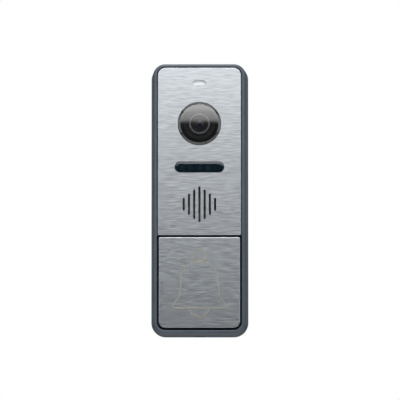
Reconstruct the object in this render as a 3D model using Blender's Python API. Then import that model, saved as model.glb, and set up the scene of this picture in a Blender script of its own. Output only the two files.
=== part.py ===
"""Outdoor call panel of a video door intercom, modelled as the pieces it is assembled from.

The panel hangs on a wall: the wall is the plane Y = 0, the panel's front faces -Y and +Z is up.
The origin is the centre of the wall face. Sizes below are millimetres, and a place is written
(x, depth, z), where depth is the distance out from the wall.
"""

import math

import bmesh
import bpy
from mathutils import Matrix, Vector

MM = 0.001

# Overall shape of the casting
WIDTH = 48.0
HEIGHT = 135.0
CORNER = 7.2
CORNER_STEPS = 8
RIM = 3.15  # from the outline to the recess that holds the plates, at the sides and the bottom
TOP_RIM = 2.85
LIP_DEPTH = 21.5
LIP_EDGE = 0.3
DRAFT = 1.1  # how far the side walls lean in
DRAFT_END = 17.0
SHOULDER_END = 20.35
SHOULDER_INSET = 1.95
SHOULDER_STEPS = 4

# Depths of the casting's inner faces
RECESS_FLOOR = 19.4
FRONT_WALL = 17.8
WELL_FLOOR = 14.0
WELL_BACK = 12.4
LEDGE = 4.9
POCKET_INSET = 2.7
CAVITY_HALF = 19.2
CAVITY_TOP = 60.0
CAVITY_BOTTOM = -57.8
WELL_TOP = -18.1
SPEAKER_CAVITY_END = -16.4

# Front plates
PLATE_BACK = 20.0
PLATE_FRONT = 21.0
PLATE_CHAMFER = 0.25
PLATE_HALF = 20.4
PLATE_TOP = 64.35
PLATE_BOTTOM = -17.85
TAPE_BACK = 19.5
TAPE_FRONT = 19.9
BUTTON_HALF = 19.85
BUTTON_TOP = -18.95
BUTTON_BOTTOM = -63.15
BUTTON_MIDDLE = (BUTTON_TOP + BUTTON_BOTTOM) / 2

# Features on the face
CAMERA_Z = 36.85
CAMERA_RADIUS = 10.55
IR_Z = 15.5
IR_HALF = 12.05
IR_RISE = 2.62
LED_PITCH = 4.3
LED_COUNT = 5
STATUS_Z = 56.93
SPEAKER_Z = -2.84
SLOT_PITCH = 2.56
SLOT_HALF_WIDTH = 0.52
SLOT_HALF_LENGTHS = (3.1, 5.2, 7.22, 8.85, 7.22, 5.2, 3.1)

# Circuit boards
BOARD_BACK = 6.0
BOARD_FRONT = 7.6
ON_BOARD = 7.7
BOARD_HALF = 18.4
POST_RADIUS = 2.0
PILOT_RADIUS = 1.0
BOARD_HOLE = 1.15
CAMERA_BOARD_SCREWS = ((15.6, 50.5), (-15.6, 22.5))
CAMERA_BOARD_PINS = ((-15.6, 50.5), (15.6, 22.5))
MAIN_BOARD_SCREWS = ((15.9, 7.6), (-8.5, -52.5))
MAIN_BOARD_PINS = ((-15.9, 7.6), (8.5, -52.5))

# Rear
COVER_BACK = 2.5
COVER_FRONT = 4.1
COVER_SCREWS = ((17.9, 57.6), (-17.9, 57.6), (17.9, -55.4), (-17.9, -55.4))
COVER_BOSS = 2.9
GROMMET_Z = 15.0
TAB_HALF = 7.5
CHANNEL_HALF = 8.8
LOCK_DEPTH = 7.0
MIC_X = -13.4
MIC_DEPTH = 9.2

# Controls behind the rear cover
TRIMMER = (6.0, -23.0)
MODE_SWITCH = (-5.5, -23.0)
SLIDER_TRAVEL = 1.7
SLIDER_PITCH = 2.54

SCREW_SIDES = 12

# Call button mechanism
SPRING_X = 12.5
HOOK_X = (15.9, 17.1)
HOOK_ROWS = (-24.0, -48.0)
HOOK_HALF = 1.6


# ---------------------------------------------------------------- scene and materials


def clear_scene():
    for obj in list(bpy.data.objects):
        bpy.data.objects.remove(obj)


def material(name, colour, roughness, metallic=0.0, alpha=1.0):
    made = bpy.data.materials.new(name)
    made.use_nodes = True
    shader = made.node_tree.nodes["Principled BSDF"]
    shader.inputs["Base Color"].default_value = (*colour, 1.0)
    shader.inputs["Roughness"].default_value = roughness
    shader.inputs["Metallic"].default_value = metallic
    shader.inputs["Alpha"].default_value = alpha
    return made


def make_materials():
    return {
        "cast": material("painted_casting", (0.09, 0.105, 0.125), 0.45, 0.3),
        "brushed": material("brushed_metal", (0.60, 0.62, 0.64), 0.32, 1.0),
        "black_plastic": material("black_plastic", (0.02, 0.02, 0.022), 0.5),
        "window": material("camera_window_clear", (0.03, 0.03, 0.035), 0.05, alpha=0.35),
        "smoked": material("smoked_window", (0.01, 0.03, 0.04), 0.08, alpha=0.6),
        "glass": material("lens_glass", (0.08, 0.05, 0.12), 0.02),
        "rubber": material("silicone_rubber", (0.05, 0.05, 0.05), 0.8),
        "tape": material("foam_tape", (0.03, 0.03, 0.03), 0.9),
        "steel": material("zinc_steel", (0.55, 0.56, 0.57), 0.35, 1.0),
        "spring": material("spring_steel", (0.62, 0.62, 0.60), 0.25, 1.0),
        "board": material("board_green", (0.02, 0.13, 0.06), 0.45),
        "chip": material("chip_black", (0.015, 0.015, 0.017), 0.55),
        "diffuser": material("white_diffuser", (0.85, 0.86, 0.87), 0.35),
        "led": material("led_resin", (0.5, 0.55, 0.6), 0.1, alpha=0.6),
        "cone": material("speaker_cone_film", (0.05, 0.05, 0.055), 0.4),
        "switch_blue": material("switch_blue", (0.03, 0.12, 0.35), 0.45),
        "white_plastic": material("white_plastic", (0.75, 0.75, 0.72), 0.4),
        "mesh": material("woven_mesh", (0.05, 0.055, 0.06), 0.5, 0.6),
    }


# ---------------------------------------------------------------- outlines, as (x, z) points


def arc(x, z, radius, start, end, steps):
    """Points from start to end, both in degrees, anticlockwise seen from the front."""
    turns = [math.radians(start + (end - start) * i / steps) for i in range(steps + 1)]
    return [(x + radius * math.cos(t), z + radius * math.sin(t)) for t in turns]


def panel(half, low, high, low_radius, high_radius, steps=CORNER_STEPS):
    """A rectangle with round corners."""
    return (
        arc(half - low_radius, low + low_radius, low_radius, -90, 0, steps)
        + arc(half - high_radius, high - high_radius, high_radius, 0, 90, steps)
        + arc(-half + high_radius, high - high_radius, high_radius, 90, 180, steps)
        + arc(-half + low_radius, low + low_radius, low_radius, 180, 270, steps)
    )


def casting_outline(inset, steps=CORNER_STEPS):
    half_height = HEIGHT / 2 - inset
    return panel(WIDTH / 2 - inset, -half_height, half_height, CORNER - inset, CORNER - inset, steps)


def pill(half_length, half_height, x=0.0, z=0.0, steps=8):
    """A slot with round ends that lies along X."""
    reach = half_length - half_height
    return arc(x + reach, z, half_height, -90, 90, steps) + arc(x - reach, z, half_height, 90, 270, steps)


def upright_pill(half_width, half_length, x, z, steps=6):
    reach = half_length - half_width
    return arc(x, z + reach, half_width, 0, 180, steps) + arc(x, z - reach, half_width, 180, 360, steps)


def circle(radius, x=0.0, z=0.0, steps=24):
    return arc(x, z, radius, 0, 360 - 360 / steps, steps - 1)


# ---------------------------------------------------------------- solids


def place(x, depth, z):
    return Vector((x, -depth, z)) * MM


def finish(name, bm, look, origin=(0, 0, 0), parent=None, smooth=35):
    """Turns a bmesh, whose points are in the panel's frame, into an object with its origin at origin."""
    bmesh.ops.remove_doubles(bm, verts=bm.verts, dist=1e-7)
    bmesh.ops.recalc_face_normals(bm, faces=bm.faces)
    mesh = bpy.data.meshes.new(name)
    bm.to_mesh(mesh)
    bm.free()
    home = place(*origin)
    mesh.transform(Matrix.Translation(-home))
    if look:
        mesh.materials.append(look)
    mesh.shade_smooth()
    mesh.set_sharp_from_angle(angle=math.radians(smooth))
    obj = bpy.data.objects.new(name, mesh)
    bpy.context.scene.collection.objects.link(obj)
    obj.location = home
    if parent:
        obj.parent = parent
        obj.location = home - parent.location
    return obj


def stack(name, layers, look=None, **where):
    """A solid through outlines of equal length, each at its own depth."""
    bm = bmesh.new()
    rings = [[bm.verts.new(place(x, depth, z)) for x, z in outline] for outline, depth in layers]
    for lower, upper in zip(rings, rings[1:]):
        count = len(lower)
        for i in range(count):
            j = (i + 1) % count
            bm.faces.new((lower[i], lower[j], upper[j], upper[i]))
    bm.faces.new(rings[0])
    bm.faces.new(rings[-1])
    return finish(name, bm, look, **where)


def slab(name, outline, back, front, look=None, **where):
    return stack(name, [(outline, back), (outline, front)], look, **where)


def box(name, x, depth, z, look=None, **where):
    """A block between two values of x, of depth and of z."""
    corners = [(x[0], z[0]), (x[1], z[0]), (x[1], z[1]), (x[0], z[1])]
    return slab(name, corners, depth[0], depth[1], look, **where)


def turned(name, profile, centre, look=None, steps=32, upright=False, **where):
    """Turns a closed (radius, along) profile about a line through centre.

    The line runs along depth through centre = (x, z), or, when upright, along Z through
    centre = (x, depth).
    """
    bm = bmesh.new()
    if upright:
        middle, axis = place(centre[0], centre[1], 0), Vector((0, 0, 1))
        points = [place(centre[0] + r, centre[1], along) for r, along in profile]
    else:
        middle, axis = place(centre[0], 0, centre[1]), Vector((0, 1, 0))
        points = [place(centre[0] + r, along, centre[1]) for r, along in profile]
    verts = [bm.verts.new(p) for p in points]
    edges = []
    for i, vert in enumerate(verts):
        other = verts[(i + 1) % len(verts)]
        if profile[i][0] > 0 or profile[(i + 1) % len(verts)][0] > 0:
            edges.append(bm.edges.new((vert, other)))
    bmesh.ops.spin(
        bm, geom=verts + edges, cent=middle, axis=axis, angle=2 * math.pi, steps=steps, use_merge=True
    )
    return finish(name, bm, look, **where)


def rod(name, radius, centre, back, front, look=None, steps=20, upright=False, **where):
    profile = [(0, back), (radius, back), (radius, front), (0, front)]
    return turned(name, profile, centre, look, steps, upright, **where)


def side_cut(name, outline, x, look=None, **where):
    """A solid whose (depth, z) outline runs between two values of x."""
    bm = bmesh.new()
    near = [bm.verts.new(place(x[0], d, z)) for d, z in outline]
    far = [bm.verts.new(place(x[1], d, z)) for d, z in outline]
    count = len(outline)
    for i in range(count):
        j = (i + 1) % count
        bm.faces.new((near[i], near[j], far[j], far[i]))
    bm.faces.new(near)
    bm.faces.new(far)
    return finish(name, bm, look, **where)


def combine(target, operation, helpers):
    for helper in helpers:
        helper.hide_render = True
        helper.display_type = "WIRE"
        modifier = target.modifiers.new(helper.name, "BOOLEAN")
        modifier.operation = operation
        modifier.solver = "EXACT"
        modifier.object = helper


def cut(target, *cutters):
    combine(target, "DIFFERENCE", cutters)


def fuse(target, *additions):
    combine(target, "UNION", additions)


def empty(name, origin):
    made = bpy.data.objects.new(name, None)
    bpy.context.scene.collection.objects.link(made)
    made.location = place(*origin)
    return made


def mirrored(x):
    """A range of x and its mirror image."""
    return (x, (-x[1], -x[0]))


# ---------------------------------------------------------------- the casting


def side_profile():
    """(inset, depth) from the wall, up the leaning side and round the shoulder, to the lip."""
    points = [(LIP_EDGE, 0.0), (0.0, LIP_EDGE), (DRAFT, DRAFT_END)]
    for i in range(1, SHOULDER_STEPS + 1):
        t = math.radians(90 * i / SHOULDER_STEPS)
        inset = DRAFT + (SHOULDER_INSET - DRAFT) * (1 - math.cos(t))
        points.append((inset, DRAFT_END + (SHOULDER_END - DRAFT_END) * math.sin(t)))
    lip_wall = SHOULDER_INSET + 0.05
    lip_round = 0.35
    points.append((lip_wall, LIP_DEPTH - lip_round))
    points.append((lip_wall + 0.1, LIP_DEPTH - 0.1))
    points.append((lip_wall + lip_round, LIP_DEPTH))
    return points


def recess_outline(grown):
    """The recess that holds the plates, larger all round by grown."""
    radius = CORNER - RIM + grown
    low, high = -HEIGHT / 2 + RIM - grown, HEIGHT / 2 - TOP_RIM + grown
    return panel(WIDTH / 2 - RIM + grown, low, high, radius, radius)


def make_housing(looks):
    housing = stack("housing", [(casting_outline(i), d) for i, d in side_profile()], looks["cast"])
    beyond = LIP_DEPTH + 1.0
    recess = [
        (recess_outline(0.0), RECESS_FLOOR),
        (recess_outline(0.0), LIP_DEPTH - LIP_EDGE),
        (recess_outline(LIP_EDGE), LIP_DEPTH),
        (recess_outline(LIP_EDGE), beyond),
    ]
    half = WIDTH / 2 - RIM
    low = -HEIGHT / 2 + RIM
    well = panel(half, low, WELL_TOP, CORNER - RIM, 0.8, 6)
    upper = panel(CAVITY_HALF, SPEAKER_CAVITY_END, CAVITY_TOP, 0.6, 2.0, 2)
    lower = panel(CAVITY_HALF, CAVITY_BOTTOM, -15.0, 2.0, 0.6, 2)
    cut(
        housing,
        stack("cut_recess", recess),
        slab("cut_button_well", well, WELL_FLOOR, RECESS_FLOOR + 0.5),
        slab("cut_rear_pocket", casting_outline(POCKET_INSET, 6), -1.0, LEDGE),
        slab("cut_upper_cavity", upper, LEDGE - 0.5, FRONT_WALL),
        slab("cut_lower_cavity", lower, LEDGE - 0.5, WELL_BACK),
    )
    ring = [(13.2, 14.6), (14.0, 14.6), (14.0, 18.3), (13.2, 18.3)]
    fuse(housing, turned("add_speaker_ring", ring, (0, SPEAKER_Z), steps=24))
    add_bosses(housing)
    cut_face_openings(housing)
    cut_button_guides(housing)
    cut_wall_hooks(housing)
    cut_microphone_port(housing)
    return housing


def add_bosses(housing):
    """Bosses for the cover screws, and posts that carry the boards, with a screw hole or a locating pin."""
    into_wall = 0.6
    for n, (x, z) in enumerate(COVER_SCREWS):
        end = FRONT_WALL if z > 0 else WELL_BACK
        fuse(housing, rod(f"boss_cover_{n}", COVER_BOSS, (x, z), LEDGE, end + into_wall, steps=14))
    screws = CAMERA_BOARD_SCREWS + MAIN_BOARD_SCREWS
    pins = CAMERA_BOARD_PINS + MAIN_BOARD_PINS
    for n, (x, z) in enumerate(screws + pins):
        end = FRONT_WALL if z > 0 else WELL_BACK
        fuse(housing, rod(f"post_board_{n}", POST_RADIUS, (x, z), ON_BOARD, end + into_wall, steps=12))
    for n, centre in enumerate(pins):
        fuse(housing, rod(f"pin_board_{n}", 0.85, centre, 5.2, ON_BOARD + 1.0, steps=8))
    for n, centre in enumerate(screws):
        cut(housing, rod(f"cut_board_pilot_{n}", PILOT_RADIUS, centre, ON_BOARD - 1.0, 12.0, steps=10))
    for n, (x, z) in enumerate(COVER_SCREWS):
        cut(housing, rod(f"cut_cover_pilot_{n}", PILOT_RADIUS, (x, z), LEDGE - 1.0, 11.5, steps=12))


def cut_face_openings(housing):
    back, front = FRONT_WALL - 0.5, RECESS_FLOOR + 0.5
    cut(
        housing,
        slab("cut_camera_hole", circle(9.2, 0, CAMERA_Z, 32), back, front),
        slab("cut_ir_hole", pill(11.2, 1.95, 0, IR_Z), back, front),
        slab("cut_status_hole", pill(3.6, 1.45, 0, STATUS_Z), back, front),
        slab("cut_speaker_hole", circle(9.5, 0, SPEAKER_Z, 28), back, front),
        slab("cut_mesh_seat", circle(10.6, 0, SPEAKER_Z, 28), 18.85, front),
    )


def cut_button_guides(housing):
    """The switch hole, the spring seats and the slots that the button's hooks snap through."""
    back, front = WELL_BACK - 0.5, WELL_FLOOR + 0.5
    cut(housing, slab("cut_switch_hole", circle(4.0, 0, BUTTON_MIDDLE, 20), back, front))
    for n, x in enumerate((-SPRING_X, SPRING_X)):
        cut(housing, slab(f"cut_spring_seat_{n}", circle(3.0, x, BUTTON_MIDDLE, 16), 13.2, front))
    slot = (HOOK_X[0] - 0.3, HOOK_X[1] + 0.2)
    for row, z in enumerate(HOOK_ROWS):
        for side, x in enumerate(mirrored(slot)):
            reach = (z - HOOK_HALF - 0.3, z + HOOK_HALF + 0.3)
            cut(housing, box(f"cut_hook_slot_{row}_{side}", x, (back, front), reach))


def cut_wall_hooks(housing):
    """Room for the bracket's top hook and bottom tab, and the locking screw's countersunk hole."""
    wide = (-CHANNEL_HALF, CHANNEL_HALF)
    countersink = [(0, -69.0), (3.0, -69.0), (3.0, -66.8), (1.75, -65.4), (1.75, -61.5), (0, -61.5)]
    cut(
        housing,
        box("cut_hook_channel", wide, (-1.0, 9.0), (61.9, 64.3)),
        box("cut_hook_pocket", (-8.2, 8.2), (4.0, 6.2), (63.8, 66.0)),
        box("cut_tab_channel", wide, (-1.0, 12.0), (-64.8, -60.3)),
        turned("cut_lock_screw", countersink, (0, LOCK_DEPTH), steps=20, upright=True),
    )


def cut_microphone_port(housing):
    centre = (MIC_X, MIC_DEPTH)
    cut(
        housing,
        rod("cut_mic_pocket", 3.35, centre, -61.5, -57.0, steps=16, upright=True),
        rod("cut_mic_port", 0.75, centre, -69.0, -61.0, steps=12, upright=True),
    )


# ---------------------------------------------------------------- plates on the front


def plate(name, half, low, high, low_radius, high_radius, look, **where):
    small = PLATE_CHAMFER
    outline = panel(half, low, high, low_radius, high_radius)
    inner = panel(half - small, low + small, high - small, low_radius - small, high_radius - small)
    layers = [(outline, PLATE_BACK), (outline, PLATE_FRONT - small), (inner, PLATE_FRONT)]
    return stack(name, layers, look, **where)


def make_front_plate(looks):
    face = plate("front_plate", PLATE_HALF, PLATE_BOTTOM, PLATE_TOP, 0.6, 3.65, looks["brushed"])
    back, front = PLATE_BACK - 1.0, PLATE_FRONT + 1.0
    cut(
        face,
        slab("cut_plate_camera", circle(CAMERA_RADIUS + 0.2, 0, CAMERA_Z, 40), back, front),
        slab("cut_plate_ir", pill(IR_HALF + 0.2, IR_RISE + 0.2, 0, IR_Z, 10), back, front),
        slab("cut_plate_status", pill(3.15, 1.15, 0, STATUS_Z), back, front),
    )
    for n, half_length in enumerate(SLOT_HALF_LENGTHS):
        x = (n - 3) * SLOT_PITCH
        outline = upright_pill(SLOT_HALF_WIDTH, half_length, x, SPEAKER_Z, 4)
        cut(face, slab(f"cut_plate_slot_{n}", outline, back, front))
    outline = panel(PLATE_HALF - 1.2, PLATE_BOTTOM + 1.0, PLATE_TOP - 1.2, 0.6, 2.4, 3)
    tape = slab("front_plate_tape", outline, TAPE_BACK, TAPE_FRONT, looks["tape"])
    back, front = TAPE_BACK - 1.0, TAPE_FRONT + 1.0
    cut(
        tape,
        slab("cut_tape_camera", circle(11.4, 0, CAMERA_Z, 24), back, front),
        slab("cut_tape_ir", pill(12.9, 3.5, 0, IR_Z, 6), back, front),
        slab("cut_tape_status", pill(4.3, 2.0, 0, STATUS_Z, 6), back, front),
        slab("cut_tape_speaker", circle(9.6, 0, SPEAKER_Z, 24), back, front),
    )
    slab("speaker_mesh", circle(10.3, 0, SPEAKER_Z, 28), 18.98, 19.3, looks["mesh"])


# ---------------------------------------------------------------- camera


def dome(radius, edge, apex, steps):
    """(radius, depth) from the rim of a shallow dome to its middle."""
    rise = apex - edge
    turns = [math.radians(90 * i / steps) for i in range(1, steps)]
    return [(radius * math.cos(t), edge + rise * math.sin(t)) for t in turns] + [(0, apex)]


def make_camera(looks):
    centre = (0, CAMERA_Z)
    window = [(0, 21.6), (7.9, 21.1), (7.9, 16.8), (8.9, 16.8), (8.9, PLATE_BACK)]
    window += [(CAMERA_RADIUS, PLATE_BACK), (CAMERA_RADIUS, 21.5), (9.55, 22.35)]
    window += dome(9.55, 22.35, 23.2, 4)
    turned("camera_window", window, centre, looks["window"], steps=36)
    seal = [(9.3, 19.5), (10.5, 19.5), (10.5, 19.9), (9.3, 19.9)]
    turned("camera_window_seal", seal, centre, looks["rubber"], steps=24)
    baffle = [(5.4, 18.2), (7.7, 18.2), (7.7, 19.4), (5.4, 19.0)]
    turned("camera_baffle", baffle, centre, looks["black_plastic"], steps=24)
    barrel = [(4.95, 20.6), (4.65, 20.6), (2.8, 19.2), (2.8, 17.7), (2.0, 17.7), (2.0, 10.0)]
    barrel += [(4.85, 10.0), (4.85, 15.0), (5.15, 15.2), (5.15, 20.4)]
    turned("lens_barrel", barrel, centre, looks["black_plastic"], steps=24)
    glass = [(0, 17.9), (2.6, 17.9), (2.6, 18.8)] + dome(2.6, 18.8, 19.8, 4)
    turned("lens_glass", glass, centre, looks["glass"], steps=20)
    side = 7.0
    upright = (CAMERA_Z - side, CAMERA_Z + side)
    holder = box("lens_holder", (-side, side), (ON_BOARD, 10.0), upright, looks["black_plastic"])
    fuse(holder, rod("add_holder_tube", 6.3, centre, 9.0, 14.8, steps=20))
    cut(holder, rod("cut_holder_bore", 5.05, centre, ON_BOARD - 1.0, 16.0, steps=20))
    box("image_sensor", (-3.2, 3.2), (ON_BOARD, 8.5), (CAMERA_Z - 2.6, CAMERA_Z + 2.6), looks["chip"])


# ---------------------------------------------------------------- infrared lights and status light


def make_infrared(looks):
    skirt = pill(10.9, 1.7, 0, IR_Z)
    body = pill(IR_HALF, IR_RISE, 0, IR_Z)
    top = pill(IR_HALF - 0.35, IR_RISE - 0.35, 0, IR_Z)
    layers = [(skirt, 17.2), (skirt, PLATE_BACK), (body, PLATE_BACK), (body, 21.1), (top, 21.45)]
    stack("ir_window", layers, looks["smoked"])
    outline = pill(IR_HALF - 0.1, IR_RISE - 0.07, 0, IR_Z, 6)
    seal = slab("ir_window_seal", outline, 19.5, 19.9, looks["rubber"])
    cut(seal, slab("cut_ir_seal", pill(11.1, 1.9, 0, IR_Z, 6), 19.0, 21.0))
    board = box("ir_led_board", (-13.0, 13.0), (11.2, 12.6), (IR_Z - 4.4, IR_Z + 4.4), looks["board"])
    fuse(board, box("add_ir_header", (-4.0, 4.0), (ON_BOARD, 11.6), (18.4, 19.6)))
    led = [(0, 12.7), (1.75, 12.7), (1.75, 13.3), (1.5, 13.3), (1.5, 15.4)] + dome(1.5, 15.4, 16.9, 3)
    for n in range(LED_COUNT):
        x = (n - (LED_COUNT - 1) / 2) * LED_PITCH
        turned(f"ir_led_{n + 1}", led, (x, IR_Z), looks["led"], steps=12)


def make_status_light(looks):
    guide, flange = pill(3.38, 1.23, 0, STATUS_Z), pill(4.4, 2.1, 0, STATUS_Z)
    layers = [(guide, 9.7), (guide, 16.5), (flange, 16.5), (flange, 17.5), (guide, 17.5), (guide, 19.85)]
    stack("status_light_guide", layers, looks["diffuser"])
    box("status_led", (-1.6, 1.6), (ON_BOARD, 9.1), (STATUS_Z - 0.8, STATUS_Z + 0.8), looks["white_plastic"])


# ---------------------------------------------------------------- sound


def make_speaker(looks):
    centre = (0, SPEAKER_Z)
    gasket = [(9.8, 17.1), (12.8, 17.1), (12.8, 17.65), (9.8, 17.65)]
    turned("speaker_gasket", gasket, centre, looks["tape"], steps=20)
    frame = [(12.9, 17.0), (11.5, 17.0), (11.5, 15.9), (7.2, 13.6), (4.4, 13.6), (4.4, 13.0)]
    frame += [(7.6, 13.0), (12.3, 15.3), (12.9, 15.9)]
    turned("speaker_frame", frame, centre, looks["steel"], steps=20)
    magnet = [(0, 12.8), (3.15, 12.8), (3.15, 10.6), (4.3, 10.6)]
    magnet += [(4.3, 12.8), (6.4, 12.8), (6.4, 9.4), (0, 9.4)]
    turned("speaker_magnet", magnet, centre, looks["steel"], steps=20)
    cone = [(0, 16.0), (2.5, 15.8), (3.9, 15.1), (8.6, 16.3), (9.6, 16.7), (10.5, 16.6), (11.1, 16.55)]
    cone += [(11.1, 16.3), (9.7, 16.4), (8.7, 15.95), (3.95, 14.6), (3.95, 11.4), (3.5, 11.4)]
    cone += [(3.5, 14.9), (0, 15.6)]
    turned("speaker_cone", cone, centre, looks["cone"], steps=20, origin=(0, 16.0, SPEAKER_Z))


def make_microphone(looks):
    centre = (MIC_X, MIC_DEPTH)
    boot = [(0.75, -61.3), (3.15, -61.3), (3.15, -57.4), (2.6, -57.4), (2.6, -60.5), (0.75, -60.5)]
    turned("microphone_boot", boot, centre, looks["rubber"], steps=16, upright=True)
    rod("microphone_capsule", 2.4, centre, -60.3, -57.6, looks["steel"], steps=16, upright=True)


# ---------------------------------------------------------------- circuit boards


def circuit_board(name, low, high, posts, looks):
    board = slab(name, panel(BOARD_HALF, low, high, 1.0, 1.0, 2), BOARD_BACK, BOARD_FRONT, looks["board"])
    back, front = BOARD_BACK - 1.0, BOARD_FRONT + 1.0
    for n, centre in enumerate(posts):
        cut(board, rod(f"cut_{name}_hole_{n}", BOARD_HOLE, centre, back, front, steps=12))
    for n, (x, z) in enumerate(COVER_SCREWS):
        if low - COVER_BOSS < z < high + COVER_BOSS:
            cut(board, rod(f"cut_{name}_boss_{n}", COVER_BOSS + 0.4, (x, z), back, front, steps=16))
    return board


def make_boards(looks):
    camera_board = circuit_board("camera_board", 18.0, 58.8, CAMERA_BOARD_SCREWS + CAMERA_BOARD_PINS, looks)
    main_board = circuit_board("main_board", -56.4, 12.2, MAIN_BOARD_SCREWS + MAIN_BOARD_PINS, looks)
    socket = (6.0, 12.8)
    fuse(camera_board, box("add_upper_ribbon_socket", socket, (BOARD_FRONT - 0.3, 9.0), (18.6, 21.2)))
    fuse(main_board, box("add_lower_ribbon_socket", socket, (BOARD_FRONT - 0.3, 9.0), (9.0, 11.6)))
    ribbon = [(9.1, 9.4), (9.35, 9.4), (9.35, 11.6), (10.2, 13.4), (10.2, 16.8), (9.35, 18.6), (9.35, 20.8)]
    ribbon += [(9.1, 20.8), (9.1, 18.5), (9.95, 16.7), (9.95, 13.5), (9.1, 11.7)]
    side_cut("board_ribbon", ribbon, (6.4, 12.4), looks["white_plastic"])
    box("lock_relay", (-16.45, -9.95), (ON_BOARD, 12.9), (25.4, 35.7), looks["chip"])
    capacitor = [(0, ON_BOARD), (3.3, ON_BOARD), (3.3, 8.5), (3.0, 8.9), (3.15, 9.2), (3.15, 14.8)]
    capacitor += [(2.8, 15.2), (0, 15.2)]
    turned("power_capacitor", capacitor, (13.0, 31.0), looks["steel"], steps=16)
    box("audio_chip", (5.5, 10.5), (ON_BOARD, 9.3), (-26.0, -20.0), looks["chip"])
    make_cable_header(looks)


def make_cable_header(looks):
    """The socket that the wall cable plugs into, once it has come in through the grommet."""
    middle = -1.2
    wide = (middle - 6.6, middle + 6.6)
    header = box("cable_header", wide, (ON_BOARD, 12.0), (4.4, 10.2), looks["white_plastic"])
    cut(header, box("cut_header", (wide[0] + 0.9, wide[1] - 0.9), (8.6, 11.2), (5.8, 11.0)))
    for n in range(6):
        x = middle + (n - 2.5) * 1.9
        fuse(header, box(f"add_header_pin_{n}", (x - 0.25, x + 0.25), (9.6, 10.1), (5.3, 9.6)))


# ---------------------------------------------------------------- call button


def make_call_button(looks):
    button = empty("call_button_axis", (0, PLATE_FRONT, BUTTON_MIDDLE))
    where = {"parent": button, "origin": (0, PLATE_FRONT, BUTTON_MIDDLE)}
    plate("button_plate", BUTTON_HALF, BUTTON_BOTTOM, BUTTON_TOP, 3.3, 0.5, looks["brushed"], **where)
    outline = panel(BUTTON_HALF - 1.2, BUTTON_BOTTOM + 1.2, BUTTON_TOP - 1.2, 2.2, 0.5, 4)
    slab("button_tape", outline, TAPE_BACK, TAPE_FRONT, looks["tape"], **where)
    outline = panel(BUTTON_HALF - 0.25, BUTTON_BOTTOM + 0.25, BUTTON_TOP - 0.25, 3.05, 0.4, 6)
    carrier = slab("button_carrier", outline, 16.9, 19.4, looks["black_plastic"], **where)
    hollow = panel(18.2, BUTTON_BOTTOM + 1.6, BUTTON_TOP - 1.6, 1.4, 0.5, 3)
    cut(carrier, slab("cut_carrier_hollow", hollow, 16.0, 18.0))
    fuse(carrier, rod("add_press_boss", 2.8, (0, BUTTON_MIDDLE), 16.5, 18.6, steps=16))
    for n, x in enumerate((-SPRING_X, SPRING_X)):
        fuse(carrier, rod(f"add_spring_stud_{n}", 1.5, (x, BUTTON_MIDDLE), 15.8, 18.6, steps=10))
    hook = [(11.3, HOOK_X[0]), (11.3, HOOK_X[1]), (11.8, 17.9), (12.25, 17.9), (12.25, HOOK_X[1])]
    hook += [(18.6, HOOK_X[1]), (18.6, HOOK_X[0])]
    for row, z in enumerate(HOOK_ROWS):
        for side in (-1, 1):
            fuse(carrier, make_hook(f"add_hook_{row}_{side}", hook, side, z))


def make_hook(name, outline, side, z):
    """A snap leg: a (depth, x) outline that runs HOOK_HALF either way along Z."""
    bm = bmesh.new()
    low = [bm.verts.new(place(side * x, d, z - HOOK_HALF)) for d, x in outline]
    high = [bm.verts.new(place(side * x, d, z + HOOK_HALF)) for d, x in outline]
    count = len(outline)
    for i in range(count):
        j = (i + 1) % count
        bm.faces.new((low[i], low[j], high[j], high[i]))
    bm.faces.new(low)
    bm.faces.new(high)
    return finish(name, bm, None)


def make_button_springs(looks):
    mean_radius, wire_radius, turns, per_turn = 2.3, 0.24, 4.5, 12
    start, end = 13.3 + wire_radius, 17.9 - wire_radius
    count = int(turns * per_turn)
    for name, x in (("return_spring_left", -SPRING_X), ("return_spring_right", SPRING_X)):
        curve = bpy.data.curves.new(name, "CURVE")
        curve.dimensions = "3D"
        curve.bevel_depth = wire_radius * MM
        curve.bevel_resolution = 0
        curve.use_fill_caps = True
        spline = curve.splines.new("POLY")
        spline.points.add(count)
        for i, point in enumerate(spline.points):
            t = 2 * math.pi * turns * i / count
            at = place(mean_radius * math.cos(t), (end - start) * i / count, mean_radius * math.sin(t))
            point.co = (*at, 1.0)
        curve.materials.append(looks["spring"])
        spring = bpy.data.objects.new(name, curve)
        bpy.context.scene.collection.objects.link(spring)
        spring.location = place(x, start, BUTTON_MIDDLE)


def make_button_switch(looks):
    centre = (0, BUTTON_MIDDLE)
    boot = [(0, 14.35), (1.5, 14.35), (1.5, 15.7), (2.9, 15.7), (4.6, 14.1), (7.0, 14.1)]
    boot += [(7.0, 14.8), (5.0, 14.9), (3.2, 16.35), (0, 16.35)]
    turned("button_boot", boot, centre, looks["rubber"], steps=18)
    side = 3.0
    upright = (BUTTON_MIDDLE - side, BUTTON_MIDDLE + side)
    body = box("switch_body", (-side, side), (ON_BOARD, 11.2), upright, looks["chip"])
    cut(body, rod("cut_switch_bore", 1.8, centre, 9.3, 12.0, steps=16))
    where = {"steps": 16, "origin": (0, 9.7, BUTTON_MIDDLE)}
    rod("switch_stem", 1.6, centre, 9.7, 13.8, looks["white_plastic"], **where)


# ---------------------------------------------------------------- controls behind the cover


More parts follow.
